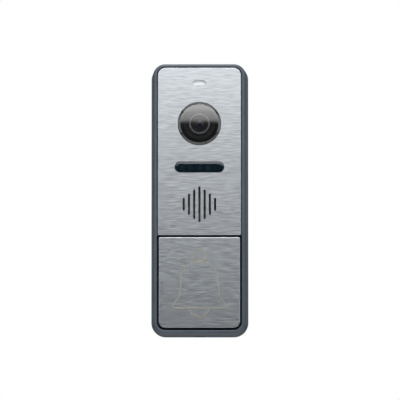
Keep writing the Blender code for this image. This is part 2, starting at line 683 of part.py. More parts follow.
def make_trimmer(looks):
    x, z = TRIMMER
    side = 3.2
    wide = (x - side, x + side)
    body = box("volume_trimmer_body", wide, (4.25, 5.9), (z - side, z + side), looks["switch_blue"])
    cut(body, rod("cut_trimmer_seat", 2.5, TRIMMER, 3.5, 5.2, steps=20))
    rotor = [(0, 2.9), (2.1, 2.9), (2.3, 3.1), (2.3, 5.0), (0, 5.0)]
    where = {"steps": 20, "origin": (x, 2.9, z)}
    rotor = turned("volume_trimmer_rotor", rotor, TRIMMER, looks["white_plastic"], **where)
    cut(rotor, box("cut_rotor_slot", (x - 0.4, x + 0.4), (2.0, 3.7), (z - 1.8, z + 1.2)))


def make_mode_switch(looks):
    x, z = MODE_SWITCH
    body = box("mode_switch_body", (x - 3.4, x + 3.4), (2.9, 5.9), (z - 3.1, z + 3.1), looks["switch_blue"])
    half = 0.55
    start = z - 1.55
    for n in range(2):
        at = x + (n - 0.5) * SLIDER_PITCH
        reach = (start - 0.15, start + 1.4 + SLIDER_TRAVEL + 0.15)
        cut(body, box(f"cut_slider_{n}", (at - half - 0.1, at + half + 0.1), (2.0, 4.25), reach))
        wide = (at - half, at + half)
        where = {"origin": (at, 2.65, start)}
        box(f"mode_slider_{n + 1}", wide, (2.65, 4.1), (start, start + 1.4), looks["white_plastic"], **where)


# ---------------------------------------------------------------- rear cover


def make_rear_cover(looks):
    inset = POCKET_INSET + 0.35
    cover = slab("rear_cover", casting_outline(inset, 6), COVER_BACK, COVER_FRONT, looks["black_plastic"])
    back, front = COVER_BACK - 1.0, COVER_FRONT + 1.0
    x, z = MODE_SWITCH
    seat = [(0, back), (5.8, back), (5.8, 3.3), (4.3, 3.3), (4.3, front), (0, front)]
    cut(
        cover,
        box("cut_cover_hook", (-9.0, 9.0), (back, front), (61.7, 70.0)),
        box("cut_cover_tab", (-9.0, 9.0), (back, front), (-70.0, -60.25)),
        turned("cut_cover_grommet", seat, (0, GROMMET_Z), steps=20),
        rod("cut_cover_trimmer", 2.7, TRIMMER, back, front, steps=16),
        box("cut_cover_mode", (x - 3.7, x + 3.7), (back, front), (z - 3.4, z + 3.4)),
    )
    for n, place_of_screw in enumerate(COVER_SCREWS):
        recess = [(0, back), (2.5, back), (2.5, 3.3), (1.3, 3.3), (1.3, front), (0, front)]
        cut(cover, turned(f"cut_cover_screw_{n}", recess, place_of_screw, steps=16))
    gasket = slab("rear_gasket", panel(20.9, -60.0, 61.6, 3.4, 3.4, 3), 4.2, 4.8, looks["rubber"])
    middle = panel(19.3, CAVITY_BOTTOM + 0.1, CAVITY_TOP - 0.1, 1.9, 1.9, 2)
    cut(gasket, slab("cut_gasket_middle", middle, 3.0, 6.0))
    for n, place_of_screw in enumerate(COVER_SCREWS):
        fuse(gasket, rod(f"add_gasket_pad_{n}", 2.7, place_of_screw, 4.2, 4.8, steps=12))
        cut(gasket, rod(f"cut_gasket_hole_{n}", 1.4, place_of_screw, 3.0, 6.0, steps=10))
    grommet = [(3.2, 2.5), (5.4, 2.5), (5.6, 2.75), (5.6, 3.2), (4.1, 3.2), (4.1, 4.2)]
    grommet += [(5.2, 4.2), (4.9, 5.0), (3.2, 5.0)]
    turned("cable_grommet", grommet, (0, GROMMET_Z), looks["rubber"], steps=20)


# ---------------------------------------------------------------- wall bracket


def make_bracket(looks):
    thick = 1.2
    wide = (-TAB_HALF, TAB_HALF)
    bracket = slab("wall_bracket", panel(17.0, -58.0, 58.0, 3.0, 3.0, 4), 0.0, thick, looks["steel"])
    hook = [(0, 56.0), (thick, 56.0), (thick, 62.9), (5.6, 62.9)]
    hook += [(5.6, 65.5), (4.4, 65.5), (4.4, 64.1), (0, 64.1)]
    tab = [(0, -56.0), (thick, -56.0), (thick, -62.7), (9.6, -62.7), (9.6, -63.9), (0, -63.9)]
    fuse(bracket, side_cut("add_bracket_hook", hook, wide), side_cut("add_bracket_tab", tab, wide))
    cut(
        bracket,
        slab("cut_cable_window", panel(9.0, 5.0, 31.0, 2.0, 2.0, 3), -1.0, 2.0),
        slab("cut_control_window", panel(10.0, -36.0, -10.0, 2.0, 2.0, 3), -1.0, 2.0),
        rod("cut_lock_thread", 1.65, (0, LOCK_DEPTH), -66.0, -60.0, steps=12, upright=True),
    )
    for n, (x, z) in enumerate(((-12.5, 46.0), (12.5, 46.0), (-12.5, -46.0), (12.5, -46.0))):
        cut(bracket, slab(f"cut_wall_slot_{n}", upright_pill(1.9, 3.75, x, z, 5), -1.0, 2.0))


# ---------------------------------------------------------------- screws


def star_recess(bm, face, across, depth_vector):
    """Sinks a six-lobed driver recess into a round face."""
    bmesh.ops.inset_region(bm, faces=[face], thickness=across * 0.6 * MM, use_even_offset=True)
    middle = face.calc_center_median()
    for n, loop in enumerate(face.loops):
        reach = across * MM * (0.72 if n % 2 else 1.0)
        loop.vert.co = middle + (loop.vert.co - middle).normalized() * reach
    floor = bmesh.ops.extrude_discrete_faces(bm, faces=[face])["faces"][0]
    bmesh.ops.translate(bm, verts=floor.verts, vec=depth_vector)


def screw_mesh(name, profile, look, recess, recess_depth):
    """A screw along +Y whose head ends at Y = 0, from (radius, along) points that start on the axis."""
    bm = bmesh.new()
    verts = [bm.verts.new(Vector((r, along, 0)) * MM) for r, along in profile]
    edges = [bm.edges.new(pair) for pair in zip(verts, verts[1:])]
    turn = {"cent": (0, 0, 0), "axis": (0, 1, 0), "angle": 2 * math.pi, "steps": SCREW_SIDES}
    bmesh.ops.spin(bm, geom=verts + edges, use_merge=True, **turn)
    bmesh.ops.remove_doubles(bm, verts=bm.verts, dist=1e-7)
    hub = [v for v in bm.verts if v.co.length < 1e-7]
    bmesh.ops.dissolve_verts(bm, verts=hub)
    bmesh.ops.recalc_face_normals(bm, faces=bm.faces)
    head = max((f for f in bm.faces if len(f.verts) == SCREW_SIDES), key=lambda f: -f.calc_center_median().y)
    star_recess(bm, head, recess, Vector((0, recess_depth * MM, 0)))
    bmesh.ops.recalc_face_normals(bm, faces=bm.faces)
    mesh = bpy.data.meshes.new(name)
    bm.to_mesh(mesh)
    bm.free()
    mesh.materials.append(look)
    mesh.shade_smooth()
    mesh.set_sharp_from_angle(angle=math.radians(35))
    return mesh


def put_screw(name, mesh, where, upright=False):
    obj = bpy.data.objects.new(name, mesh)
    bpy.context.scene.collection.objects.link(obj)
    obj.location = place(*where)
    # A screw mesh points its shank along +Y; a wall screw's shank runs towards the front.
    obj.rotation_euler = (math.radians(90), 0, 0) if upright else (0, 0, math.radians(180))


def make_screws(looks):
    pan = [(0, 0), (1.6, 0), (2.1, 0.35), (2.2, 1.2), (0.85, 1.2), (0.85, 7.2), (0.4, 7.8), (0, 7.8)]
    mesh = screw_mesh("pan_head_screw", pan, looks["steel"], 0.95, 0.6)
    for n, (x, z) in enumerate(COVER_SCREWS):
        put_screw(f"cover_screw_{n + 1}", mesh, (x, 2.0, z))
    small = [(0, 0), (1.4, 0), (1.8, 0.3), (1.9, 1.1), (0.8, 1.1), (0.8, 5.9), (0.4, 6.3), (0, 6.3)]
    mesh = screw_mesh("board_screw", small, looks["steel"], 0.85, 0.5)
    for n, (x, z) in enumerate(CAMERA_BOARD_SCREWS + MAIN_BOARD_SCREWS):
        put_screw(f"board_screw_{n + 1}", mesh, (x, 4.75, z))
    flat = [(0, 0), (2.65, 0), (2.75, 0.15), (1.5, 1.4), (1.45, 1.6), (1.45, 5.3), (1.0, 5.8), (0, 5.8)]
    mesh = screw_mesh("flat_head_screw", flat, looks["steel"], 1.1, 0.9)
    put_screw("locking_screw", mesh, (0, LOCK_DEPTH, -66.85), upright=True)


# ---------------------------------------------------------------- assembly


def main():
    clear_scene()
    looks = make_materials()
    make_housing(looks)
    make_front_plate(looks)
    make_camera(looks)
    make_infrared(looks)
    make_status_light(looks)
    make_speaker(looks)
    make_microphone(looks)
    make_boards(looks)
    make_call_button(looks)
    make_button_springs(looks)
    make_button_switch(looks)
    make_trimmer(looks)
    make_mode_switch(looks)
    make_rear_cover(looks)
    make_bracket(looks)
    make_screws(looks)


main()
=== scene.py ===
"""Looks of the outdoor call panel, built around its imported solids.

The wall is the plane Y = 0, the panel's front faces -Y and +Z is up. Sizes below are
millimetres, and a place is written (x, depth, z), where depth is the distance out from the wall.
"""

import math

import bmesh
import bpy
from mathutils import Matrix, Vector


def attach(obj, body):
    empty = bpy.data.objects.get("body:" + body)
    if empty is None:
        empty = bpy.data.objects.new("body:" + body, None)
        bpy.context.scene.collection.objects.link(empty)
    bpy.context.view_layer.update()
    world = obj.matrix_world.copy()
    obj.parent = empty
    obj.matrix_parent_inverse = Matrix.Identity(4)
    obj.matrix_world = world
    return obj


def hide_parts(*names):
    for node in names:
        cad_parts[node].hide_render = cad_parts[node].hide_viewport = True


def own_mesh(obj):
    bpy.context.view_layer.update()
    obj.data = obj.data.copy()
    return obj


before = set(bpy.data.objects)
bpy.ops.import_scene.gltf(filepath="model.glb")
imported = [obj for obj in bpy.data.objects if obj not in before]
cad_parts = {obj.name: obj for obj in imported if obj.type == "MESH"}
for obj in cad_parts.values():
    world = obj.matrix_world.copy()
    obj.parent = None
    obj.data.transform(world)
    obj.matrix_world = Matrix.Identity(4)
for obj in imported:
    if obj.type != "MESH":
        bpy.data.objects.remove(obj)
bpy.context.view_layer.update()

MM = 0.001

# The casting
WIDTH = 48.0
HEIGHT = 135.0
CORNER = 7.2
RIM = 3.15
TOP_RIM = 2.85
LIP_DEPTH = 21.5
DRAFT = 1.1
DRAFT_END = 17.0
SHOULDER_INSET = 1.95
SHOULDER_END = 20.35
RECESS_FLOOR = 19.4
FRONT_WALL = 17.8
WELL_FLOOR = 14.0
WELL_BACK = 12.4
LEDGE = 4.9
ON_BOARD = 7.7
LOCK_DEPTH = 7.0
MIC = (-13.4, 9.2)
COVER_SCREWS = ((17.9, 57.6), (-17.9, 57.6), (17.9, -55.4), (-17.9, -55.4))
BOARD_SCREWS = ((15.6, 50.5), (-15.6, 22.5), (15.9, 7.6), (-8.5, -52.5))
BOARD_PINS = ((-15.6, 50.5), (15.6, 22.5), (-15.9, 7.6), (8.5, -52.5))

# The plates and what sits in them
PLATE_BACK = 20.0
PLATE_FRONT = 21.0
PLATE_HALF = 20.4
GAP = 0.1
PLATE_TOP = 64.35
PLATE_BOTTOM = -17.85
BUTTON_HALF = 19.85
BUTTON_TOP = -18.95
BUTTON_BOTTOM = -63.15
BUTTON_MIDDLE = (BUTTON_TOP + BUTTON_BOTTOM) / 2
CAMERA_Z = 36.85
CAMERA_RADIUS = 10.55
IR_Z = 15.5
IR_HALF = 12.05
IR_RISE = 2.62
LED_PITCH = 4.3
STATUS_Z = 56.93
SPEAKER_Z = -2.84
SLOT_PITCH = 2.56
SLOT_HALF_WIDTH = 0.52
SLOT_HALF_LENGTHS = (3.1, 5.2, 7.22, 8.85, 7.22, 5.2, 3.1)

# The studio, in metres: each softbox is (place, aim, size, radiance)
SOFTBOXES = {
    "top_light": ((0.12, -1.05, 1.2), (0, 0, 0), (0.3, 0.3), 12.0),
    "overhead_softbox": ((0, -0.15, 0.6), (0, -0.15, 0), (1.3, 0.8), 1.0),
    "left_softbox": ((-0.9, -0.5, 0.12), (0, 0, 0.02), (1.0, 0.9), 0.9),
    "right_softbox": ((0.9, -0.5, 0.12), (0, 0, 0.02), (1.0, 0.9), 1.05),
    "back_softbox": ((0, 0.9, 1.3), (0, 0, 0), (0.8, 0.8), 2.2),
}
FLOOR_LEVEL = -0.45
FLOOR_HALF = 0.9
DIFFUSER_Y = -1.2
DIFFUSER_HALF = 0.85
DIFFUSER_LOW = 0.10
DIFFUSER_HIGH = 1.0

# The room that surfaces reflect: (axis, start, end, strength at start, strength at end)
ROOM = (("Y", -0.97, -0.7, 0.03, 0.22), ("Z", -0.3, 0.1, 0.15, 1.0))
ROOM_COLOUR = (0.70, 0.86, 1.0, 1.0)

# A Mix node's colour sockets, which share their names with its number sockets
MIX_A = 6
MIX_B = 7
MIX_RESULT = 2

# The front diffuser's glow: (share of its height, brightness)
GLOW_STRENGTH = 3.6
GLOW = (
    ((0.0, 0.0), (0.06, 0.04), (0.11, 0.25), (0.17, 0.47))
    + ((0.26, 0.57), (0.37, 0.70), (0.50, 1.0), (1.0, 1.0))
)

# The call button's mechanism and the controls at the back
SPRING_X = 12.5
HOOK_SLOT = (15.6, 17.3)
HOOK_ROWS = (-24.0, -48.0)
TRIMMER = (6.0, -23.0)
GROMMET_Z = 15.0


# ---- outlines, as (x, z) points


def place(x, depth, z):
    return Vector((x, -depth, z)) * MM


def arc(x, z, radius, start, end, steps):
    turns = [math.radians(start + (end - start) * i / steps) for i in range(steps + 1)]
    return [(x + radius * math.cos(t), z + radius * math.sin(t)) for t in turns]


def quarter(steps):
    return [math.radians(90 * i / steps) for i in range(steps + 1)]


def panel(half, low, high, low_radius, high_radius, steps=16):
    """A rectangle with round corners."""
    return (
        arc(half - low_radius, low + low_radius, low_radius, -90, 0, steps)
        + arc(half - high_radius, high - high_radius, high_radius, 0, 90, steps)
        + arc(-half + high_radius, high - high_radius, high_radius, 90, 180, steps)
        + arc(-half + low_radius, low + low_radius, low_radius, 180, 270, steps)
    )


def casting_outline(inset, steps=28):
    tall = HEIGHT / 2 - inset
    return panel(WIDTH / 2 - inset, -tall, tall, CORNER - inset, CORNER - inset, steps)


def pill(half_length, half_height, z, steps=20):
    reach = half_length - half_height
    return arc(reach, z, half_height, -90, 90, steps) + arc(-reach, z, half_height, 90, 270, steps)


def upright_pill(half_width, half_length, x, z, steps=12):
    reach = half_length - half_width
    return arc(x, z + reach, half_width, 0, 180, steps) + arc(x, z - reach, half_width, 180, 360, steps)


def circle(radius, x, z, steps=64):
    return arc(x, z, radius, 0, 360 - 360 / steps, steps - 1)


def smooth_line(points, steps=6):
    """Points along a smooth curve through the given ones."""
    ends = [points[0], *points, points[-1]]
    found = []
    for before, start, end, after in zip(ends, ends[1:], ends[2:], ends[3:]):
        for i in range(steps):
            t = i / steps
            weights = (
                -0.5 * t + t * t - 0.5 * t**3,
                1 - 2.5 * t * t + 1.5 * t**3,
                0.5 * t + 2 * t * t - 1.5 * t**3,
                -0.5 * t * t + 0.5 * t**3,
            )
            four = (before, start, end, after)
            found.append(tuple(sum(w * p[k] for w, p in zip(weights, four)) for k in (0, 1)))
    return found + [points[-1]]


# ---- meshes


def linked(name, data):
    obj = bpy.data.objects.new(name, data)
    bpy.context.scene.collection.objects.link(obj)
    return obj


def made_object(name, bm):
    bmesh.ops.remove_doubles(bm, verts=bm.verts, dist=1e-7)
    bmesh.ops.recalc_face_normals(bm, faces=bm.faces)
    mesh = bpy.data.meshes.new(name)
    bm.to_mesh(mesh)
    bm.free()
    return linked(name, mesh)


def bridged(bm, rings, capped=True):
    """Faces between rings of points, each ring closed on itself."""
    rings = [[bm.verts.new(p) for p in ring] for ring in rings]
    for lower, upper in zip(rings, rings[1:]):
        count = len(lower)
        for i in range(count):
            j = (i + 1) % count
            bm.faces.new((lower[i], lower[j], upper[j], upper[i]))
    if capped:
        bm.faces.new(rings[0])
        bm.faces.new(rings[-1])


def stack(name, layers):
    """A solid through outlines of equal length, each at its own depth."""
    bm = bmesh.new()
    bridged(bm, [[place(x, depth, z) for x, z in outline] for outline, depth in layers])
    return made_object(name, bm)


def slab(name, outline, back, front):
    return stack(name, [(outline, back), (outline, front)])


def box(name, x, depth, z):
    corners = [(x[0], z[0]), (x[1], z[0]), (x[1], z[1]), (x[0], z[1])]
    return slab(name, corners, depth[0], depth[1])


def turned(name, profile, centre, steps=64, upright=False):
    """Turns a closed (radius, along) profile about a line along depth through centre = (x, z),
    or, when upright, along Z through centre = (x, depth)."""
    bm = bmesh.new()
    if upright:
        middle, axis = place(centre[0], centre[1], 0), Vector((0, 0, 1))
        points = [place(centre[0] + r, centre[1], along) for r, along in profile]
    else:
        middle, axis = place(centre[0], 0, centre[1]), Vector((0, 1, 0))
        points = [place(centre[0] + r, along, centre[1]) for r, along in profile]
    verts = [bm.verts.new(p) for p in points]
    edges = []
    for i, vert in enumerate(verts):
        if profile[i][0] > 0 or profile[(i + 1) % len(verts)][0] > 0:
            edges.append(bm.edges.new((vert, verts[(i + 1) % len(verts)])))
    spin = {"cent": middle, "axis": axis, "angle": 2 * math.pi, "steps": steps}
    bmesh.ops.spin(bm, geom=verts + edges, use_merge=True, **spin)
    return made_object(name, bm)


def rod(name, radius, centre, back, front, steps=32, upright=False):
    return turned(name, [(0, back), (radius, back), (radius, front), (0, front)], centre, steps, upright)


def rounded(profile, reach, steps=4):
    """Rounds every corner of a closed profile that doesn't lie on its axis, by up to reach."""
    found = []
    count = len(profile)
    for i, corner in enumerate(profile):
        here = Vector(corner)
        before = Vector(profile[i - 1]) - here
        after = Vector(profile[(i + 1) % count]) - here
        if corner[0] <= 0:
            found.append(corner)
            continue
        near = min(reach, before.length * 0.45, after.length * 0.45)
        start, end = here + before.normalized() * near, here + after.normalized() * near
        for k in range(steps + 1):
            t = k / steps
            point = start * (1 - t) ** 2 + here * 2 * t * (1 - t) + end * t * t
            found.append((point.x, point.y))
    return found


def combine(target, operation, helpers):
    for helper in helpers:
        modifier = target.modifiers.new(helper.name, "BOOLEAN")
        modifier.operation = operation
        modifier.solver = "EXACT"
        modifier.object = helper


def cut(target, *cutters):
    combine(target, "DIFFERENCE", cutters)


def fuse(target, *additions):
    combine(target, "UNION", additions)


def settle(obj):
    """Turns an object's modifiers into its mesh, and removes the solids that they used."""
    helpers = [m.object for m in obj.modifiers if m.type == "BOOLEAN"]
    graph = bpy.context.evaluated_depsgraph_get()
    graph.update()
    mesh = bpy.data.meshes.new_from_object(obj.evaluated_get(graph))
    obj.modifiers.clear()
    obj.data = mesh
    for helper in helpers:
        bpy.data.objects.remove(helper)
    return obj


def soft_edges(obj, width, segments=2, over=35):
    """Rounds an object's sharp edges."""
    bevel = obj.modifiers.new("edges", "BEVEL")
    bevel.width = width * MM
    bevel.segments = segments
    bevel.limit_method = "ANGLE"
    bevel.angle_limit = math.radians(over)
    bevel.use_clamp_overlap = True
    return settle(obj)


def dress(obj, look, body="panel", stands_for=(), sharp=32):
    """Shades a finished piece and enters it in the frame."""
    mesh = obj.data
    mesh.materials.clear()
    material, slot = LOOKS[look]
    mesh.materials.append(material)
    mesh.shade_smooth()
    mesh.set_sharp_from_angle(angle=math.radians(sharp))
    normals = obj.modifiers.new("normals", "WEIGHTED_NORMAL")
    normals.keep_sharp = True
    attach(obj, body)
    for node in stands_for:
        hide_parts(node)
    return obj


def repaint(obj, look, chosen):
    """Gives the chosen faces of a finished piece a second material."""
    obj.data.materials.append(LOOKS[look][0])
    for face in obj.data.polygons:
        if chosen(face):
            face.material_index = len(obj.data.materials) - 1


def faces_wall(face):
    return face.normal.y > 0.3


def lathe(node, look, profile, centre, reach=0.0, corner_steps=4, steps=64, upright=False, **entry):
    """A turned piece, its corners rounded by up to reach, which stands for a CAD node."""
    if reach:
        profile = rounded(profile, reach, corner_steps)
    piece = turned(node + "_fine", profile, centre, steps, upright)
    return dress(piece, look, stands_for=(node,), **entry)


def refined(node, look, body="panel", width=0.1, segments=2):
    """A copy of a CAD node's mesh with its edges rounded, which stands for the node."""
    bm = bmesh.new()
    bm.from_mesh(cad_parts[node].data)
    bmesh.ops.remove_doubles(bm, verts=bm.verts, dist=2e-6)
    bmesh.ops.dissolve_limit(bm, angle_limit=math.radians(1.0), verts=bm.verts, edges=bm.edges)
    obj = made_object(node + "_fine", bm)
    if width:
        soft_edges(obj, width, segments)
    return dress(obj, look, body, (node,))


# ---- materials


def set_range(node, start, end, low, high):
    """Makes a Map Range node carry start to end over to low to high."""
    for socket, number in (("From Min", start), ("From Max", end), ("To Min", low), ("To Max", high)):
        node.inputs[socket].default_value = number


class Look:
    """A Principled material whose textures are laid out in millimetres of the panel's own frame."""

    def __init__(self, name, colour, roughness, metallic=0.0, **sockets):
        self.material = bpy.data.materials.new(name)
        self.material.use_nodes = True
        self.tree = self.material.node_tree
        self.shader = self.tree.nodes["Principled BSDF"]
        self.shader.inputs["Base Color"].default_value = (*colour, 1.0)
        self.shader.inputs["Roughness"].default_value = roughness
        self.shader.inputs["Metallic"].default_value = metallic
        for socket, value in sockets.items():
            self.shader.inputs[socket.replace("_", " ")].default_value = value
        self.place = self.node("ShaderNodeTexCoord").outputs["Object"]

    def node(self, kind, **settings):
        made = self.tree.nodes.new(kind)
        for key, value in settings.items():
            setattr(made, key, value)
        return made

    def link(self, output, node, socket):
        self.tree.links.new(output, node.inputs[socket])

    def stretched(self, grain):
        """Coordinates in which one unit is grain = (x, y, z) millimetres."""
        mapping = self.node("ShaderNodeMapping")
        mapping.inputs["Scale"].default_value = [1 / (g * MM) for g in grain]
        self.link(self.place, mapping, "Vector")
        return mapping.outputs["Vector"]

    def noise(self, grain, detail=3.0, roughness=0.55):
        made = self.node("ShaderNodeTexNoise")
        made.inputs["Scale"].default_value = 1.0
        made.inputs["Detail"].default_value = detail
        made.inputs["Roughness"].default_value = roughness
        self.link(self.stretched(grain), made, "Vector")
        return made.outputs["Fac"]

    def cells(self, grain, randomness=1.0):
        made = self.node("ShaderNodeTexVoronoi")
        made.inputs["Scale"].default_value = 1.0
        made.inputs["Randomness"].default_value = randomness
        self.link(self.stretched(grain), made, "Vector")
        return made.outputs["Distance"]

    def spread(self, value, low, high, start=0.3, end=0.7):
        made = self.node("ShaderNodeMapRange")
        set_range(made, start, end, low, high)
        self.link(value, made, "Value")
        return made.outputs["Result"]

    def colour(self, value, dark, light, start=0.3, end=0.7):
        """Blends the base colour from dark to light over value."""
        made = self.node("ShaderNodeMix", data_type="RGBA")
        self.link(self.spread(value, 0.0, 1.0, start, end), made, 0)
        made.inputs[MIX_A].default_value = (*dark, 1.0)
        made.inputs[MIX_B].default_value = (*light, 1.0)
        self.link(made.outputs[MIX_RESULT], self.shader, "Base Color")
        return made

    def marked(self, under, value, mark, start, end):
        """Lays a second colour over a blend where value is high."""
        made = self.node("ShaderNodeMix", data_type="RGBA")
        self.link(self.spread(value, 0.0, 1.0, start, end), made, 0)
        self.link(under.outputs[MIX_RESULT], made, MIX_A)
        made.inputs[MIX_B].default_value = (*mark, 1.0)
        self.link(made.outputs[MIX_RESULT], self.shader, "Base Color")
        return made

    def gloss(self, value, low, high, start=0.3, end=0.7):
        self.link(self.spread(value, low, high, start, end), self.shader, "Roughness")

    def bump(self, value, height, strength=1.0, over=None):
        """Raises the surface by up to height micrometres, over an earlier bump if there is one."""
        made = self.node("ShaderNodeBump")
        made.inputs["Distance"].default_value = height * 1e-6
        made.inputs["Strength"].default_value = strength
        self.link(value, made, "Height")
        if over:
            self.link(over.outputs["Normal"], made, "Normal")
        self.link(made.outputs["Normal"], self.shader, "Normal")
        return made


def even(size):
    return (size, size, size)


def shade(colour, factor):
    return tuple(c * factor for c in colour)


def painted_casting():
    slate = (0.066, 0.082, 0.103)
    look = Look("painted_casting", slate, 0.42, 0.25, Coat_Weight=0.25, Coat_Roughness=0.25)
    look.colour(look.noise(even(9.0), 4.0), shade(slate, 0.9), shade(slate, 1.1))
    look.gloss(look.noise(even(1.6), 4.0), 0.38, 0.5)
    coarse = look.bump(look.noise(even(0.7), 2.0), 9.0)
    look.bump(look.cells(even(0.16)), 3.0, 1.0, coarse)
    return look.material


def brushed_metal():
    base = (0.62, 0.655, 0.69)
    look = Look("brushed_metal", base, 0.235, 1.0, Anisotropic=0.7)
    streaks = look.noise((5.5, 0.55, 0.48), 2.0, 0.55)
    grain = look.noise((3.0, 0.25, 0.2), 2.0)
    blend = look.node("ShaderNodeMix")
    blend.inputs[0].default_value = 0.3
    look.link(streaks, blend, 2)
    look.link(grain, blend, 3)
    both = blend.outputs[0]
    look.colour(both, shade(base, 0.91), shade(base, 1.09), 0.36, 0.64)
    look.gloss(both, 0.205, 0.245, 0.36, 0.64)
    coarse = look.bump(streaks, 6.0)
    look.bump(grain, 0.8, 1.0, coarse)
    across = look.node("ShaderNodeCombineXYZ")
    across.inputs["Z"].default_value = 1.0
    look.link(across.outputs["Vector"], look.shader, "Tangent")
    return look.material


def etched_line():
    gold = (0.33, 0.305, 0.235)
    look = Look("etched_line", gold, 0.55, 0.15)
    look.colour(look.noise((2.5, 0.4, 0.3), 3.0), shade(gold, 0.82), shade(gold, 1.15))
    look.bump(look.noise(even(0.12), 2.0), 4.0)
    return look.material


def moulded(name, colour, roughness, grain=0.35, height=8.0, **sockets):
    """Plastic from a spark-eroded mould."""
    look = Look(name, colour, roughness, **sockets)
    look.colour(look.noise(even(6.0), 3.0), shade(colour, 0.88), shade(colour, 1.12))
    look.gloss(look.noise(even(1.2), 3.0), roughness - 0.06, roughness + 0.08)
    coarse = look.bump(look.cells(even(grain)), height)
    look.bump(look.noise(even(grain * 0.4), 2.0), height * 0.4, 1.0, coarse)
    return look.material


def clear_plastic(name, colour, alpha, ior, mottle):
    """Polished tinted plastic, with the faint waviness that moulding leaves."""
    look = Look(name, colour, 0.04, IOR=ior, Alpha=alpha)
    look.colour(look.noise(even(5.0), 2.0), shade(colour, 0.7), shade(colour, 1.3))
    look.gloss(look.noise(even(2.5), 3.0), 0.03, 0.03 + mottle)
    look.bump(look.noise(even(7.0), 1.0), 2.0)
    return look.material


def coated_glass():
    look = Look("coated_glass", (0.02, 0.012, 0.03), 0.02, IOR=1.8, Coat_Weight=0.6, Coat_Roughness=0.02)
    facing = look.node("ShaderNodeLayerWeight")
    facing.inputs["Blend"].default_value = 0.45
    tint = look.colour(facing.outputs["Facing"], (0.045, 0.02, 0.07), (0.012, 0.03, 0.06), 0.05, 0.6)
    look.marked(tint, look.noise(even(1.5), 2.0), (0.02, 0.01, 0.035), 0.5, 0.8)
    look.gloss(look.noise(even(0.8), 2.0), 0.015, 0.04)
    return look.material


def rubber(name, colour, grain):
    look = Look(name, colour, 0.72, Sheen_Weight=0.08, Sheen_Roughness=0.5)
    look.colour(look.noise(even(3.0), 4.0), shade(colour, 0.8), shade(colour, 1.25))
    look.gloss(look.noise(even(0.9), 3.0), 0.62, 0.82)
    look.bump(look.noise(even(grain), 3.0), 14.0)
    return look.material


def foam():
    colour = (0.035, 0.035, 0.037)
    look = Look("foam_tape", colour, 0.92)
    pore_dips_and_shade = look.cells(even(0.28))
    # painted shade: the colour darkens towards each pore's sunken middle, standing in for shade in the
    # pore hollows
    look.colour(pore_dips_and_shade, shade(colour, 0.45), shade(colour, 1.3), 0.0, 0.5)
    look.bump(pore_dips_and_shade, 60.0)
    return look.material


def rolled_steel(name, colour, roughness, grain, height):
    """Zinc-plated steel: soft crystal spangle, rolling lines and fine scratches."""
    look = Look(name, colour, roughness, 1.0)
    tint = look.colour(look.cells(even(grain)), shade(colour, 0.84), shade(colour, 1.1), 0.1, 0.8)
    look.marked(tint, look.noise(even(7.0), 4.0, 0.6), (0.48, 0.47, 0.36), 0.58, 0.95)
    lines = look.noise((0.12, 0.12, 6.0), 3.0)
    look.gloss(lines, roughness - 0.06, roughness + 0.12)
    coarse = look.bump(look.noise(even(grain * 0.7), 2.0), height)
    look.bump(lines, height * 0.35, 0.6, coarse)
    return look.material


def drawn_wire(name, colour, roughness):
    look = Look(name, colour, roughness, 1.0)
    look.colour(look.noise(even(0.8), 3.0), shade(colour, 0.8), shade(colour, 1.12))
    look.gloss(look.noise(even(0.3), 2.0), roughness - 0.05, roughness + 0.1)
    look.bump(look.noise(even(0.15), 2.0), 3.0)
    return look.material


def solder_mask():
    green = (0.012, 0.095, 0.045)
    look = Look("solder_mask", green, 0.35, Coat_Weight=0.5, Coat_Roughness=0.1)
    weave = look.noise(even(0.5), 2.0)
    base = look.colour(weave, shade(green, 0.85), shade(green, 1.15))
    tracks = look.node("ShaderNodeTexVoronoi", feature="DISTANCE_TO_EDGE", distance="EUCLIDEAN")
    tracks.inputs["Scale"].default_value = 1.0
    tracks.inputs["Randomness"].default_value = 0.85
    look.link(look.stretched((3.4, 60.0, 2.6)), tracks, "Vector")
    copper = look.marked(base, tracks.outputs["Distance"], (0.03, 0.19, 0.085), 0.1, 0.06)
    pads = look.cells((2.2, 60.0, 2.2), randomness=0.5)
    look.marked(copper, pads, (0.62, 0.60, 0.52), 0.16, 0.13)
    look.bump(tracks.outputs["Distance"], -25.0, 0.4)
    return look.material


def warm_white(name, colour, roughness, under):
    look = Look(name, colour, roughness, Subsurface_Weight=under, Subsurface_Scale=0.0012)
    look.colour(look.noise(even(4.0), 3.0), shade(colour, 0.95), shade(colour, 1.04))
    look.gloss(look.noise(even(0.9), 3.0), roughness - 0.05, roughness + 0.08)
    look.bump(look.noise(even(0.5), 2.0), 3.0)
    return look.material


def speaker_film():
    colour = (0.05, 0.052, 0.056)
    look = Look("speaker_film", colour, 0.38, Coat_Weight=0.3, Coat_Roughness=0.2)
    look.colour(look.noise(even(2.0), 4.0), shade(colour, 0.7), shade(colour, 1.35))
    look.gloss(look.noise(even(0.6), 3.0), 0.3, 0.5)
    look.bump(look.noise(even(0.35), 3.0), 20.0)
    return look.material


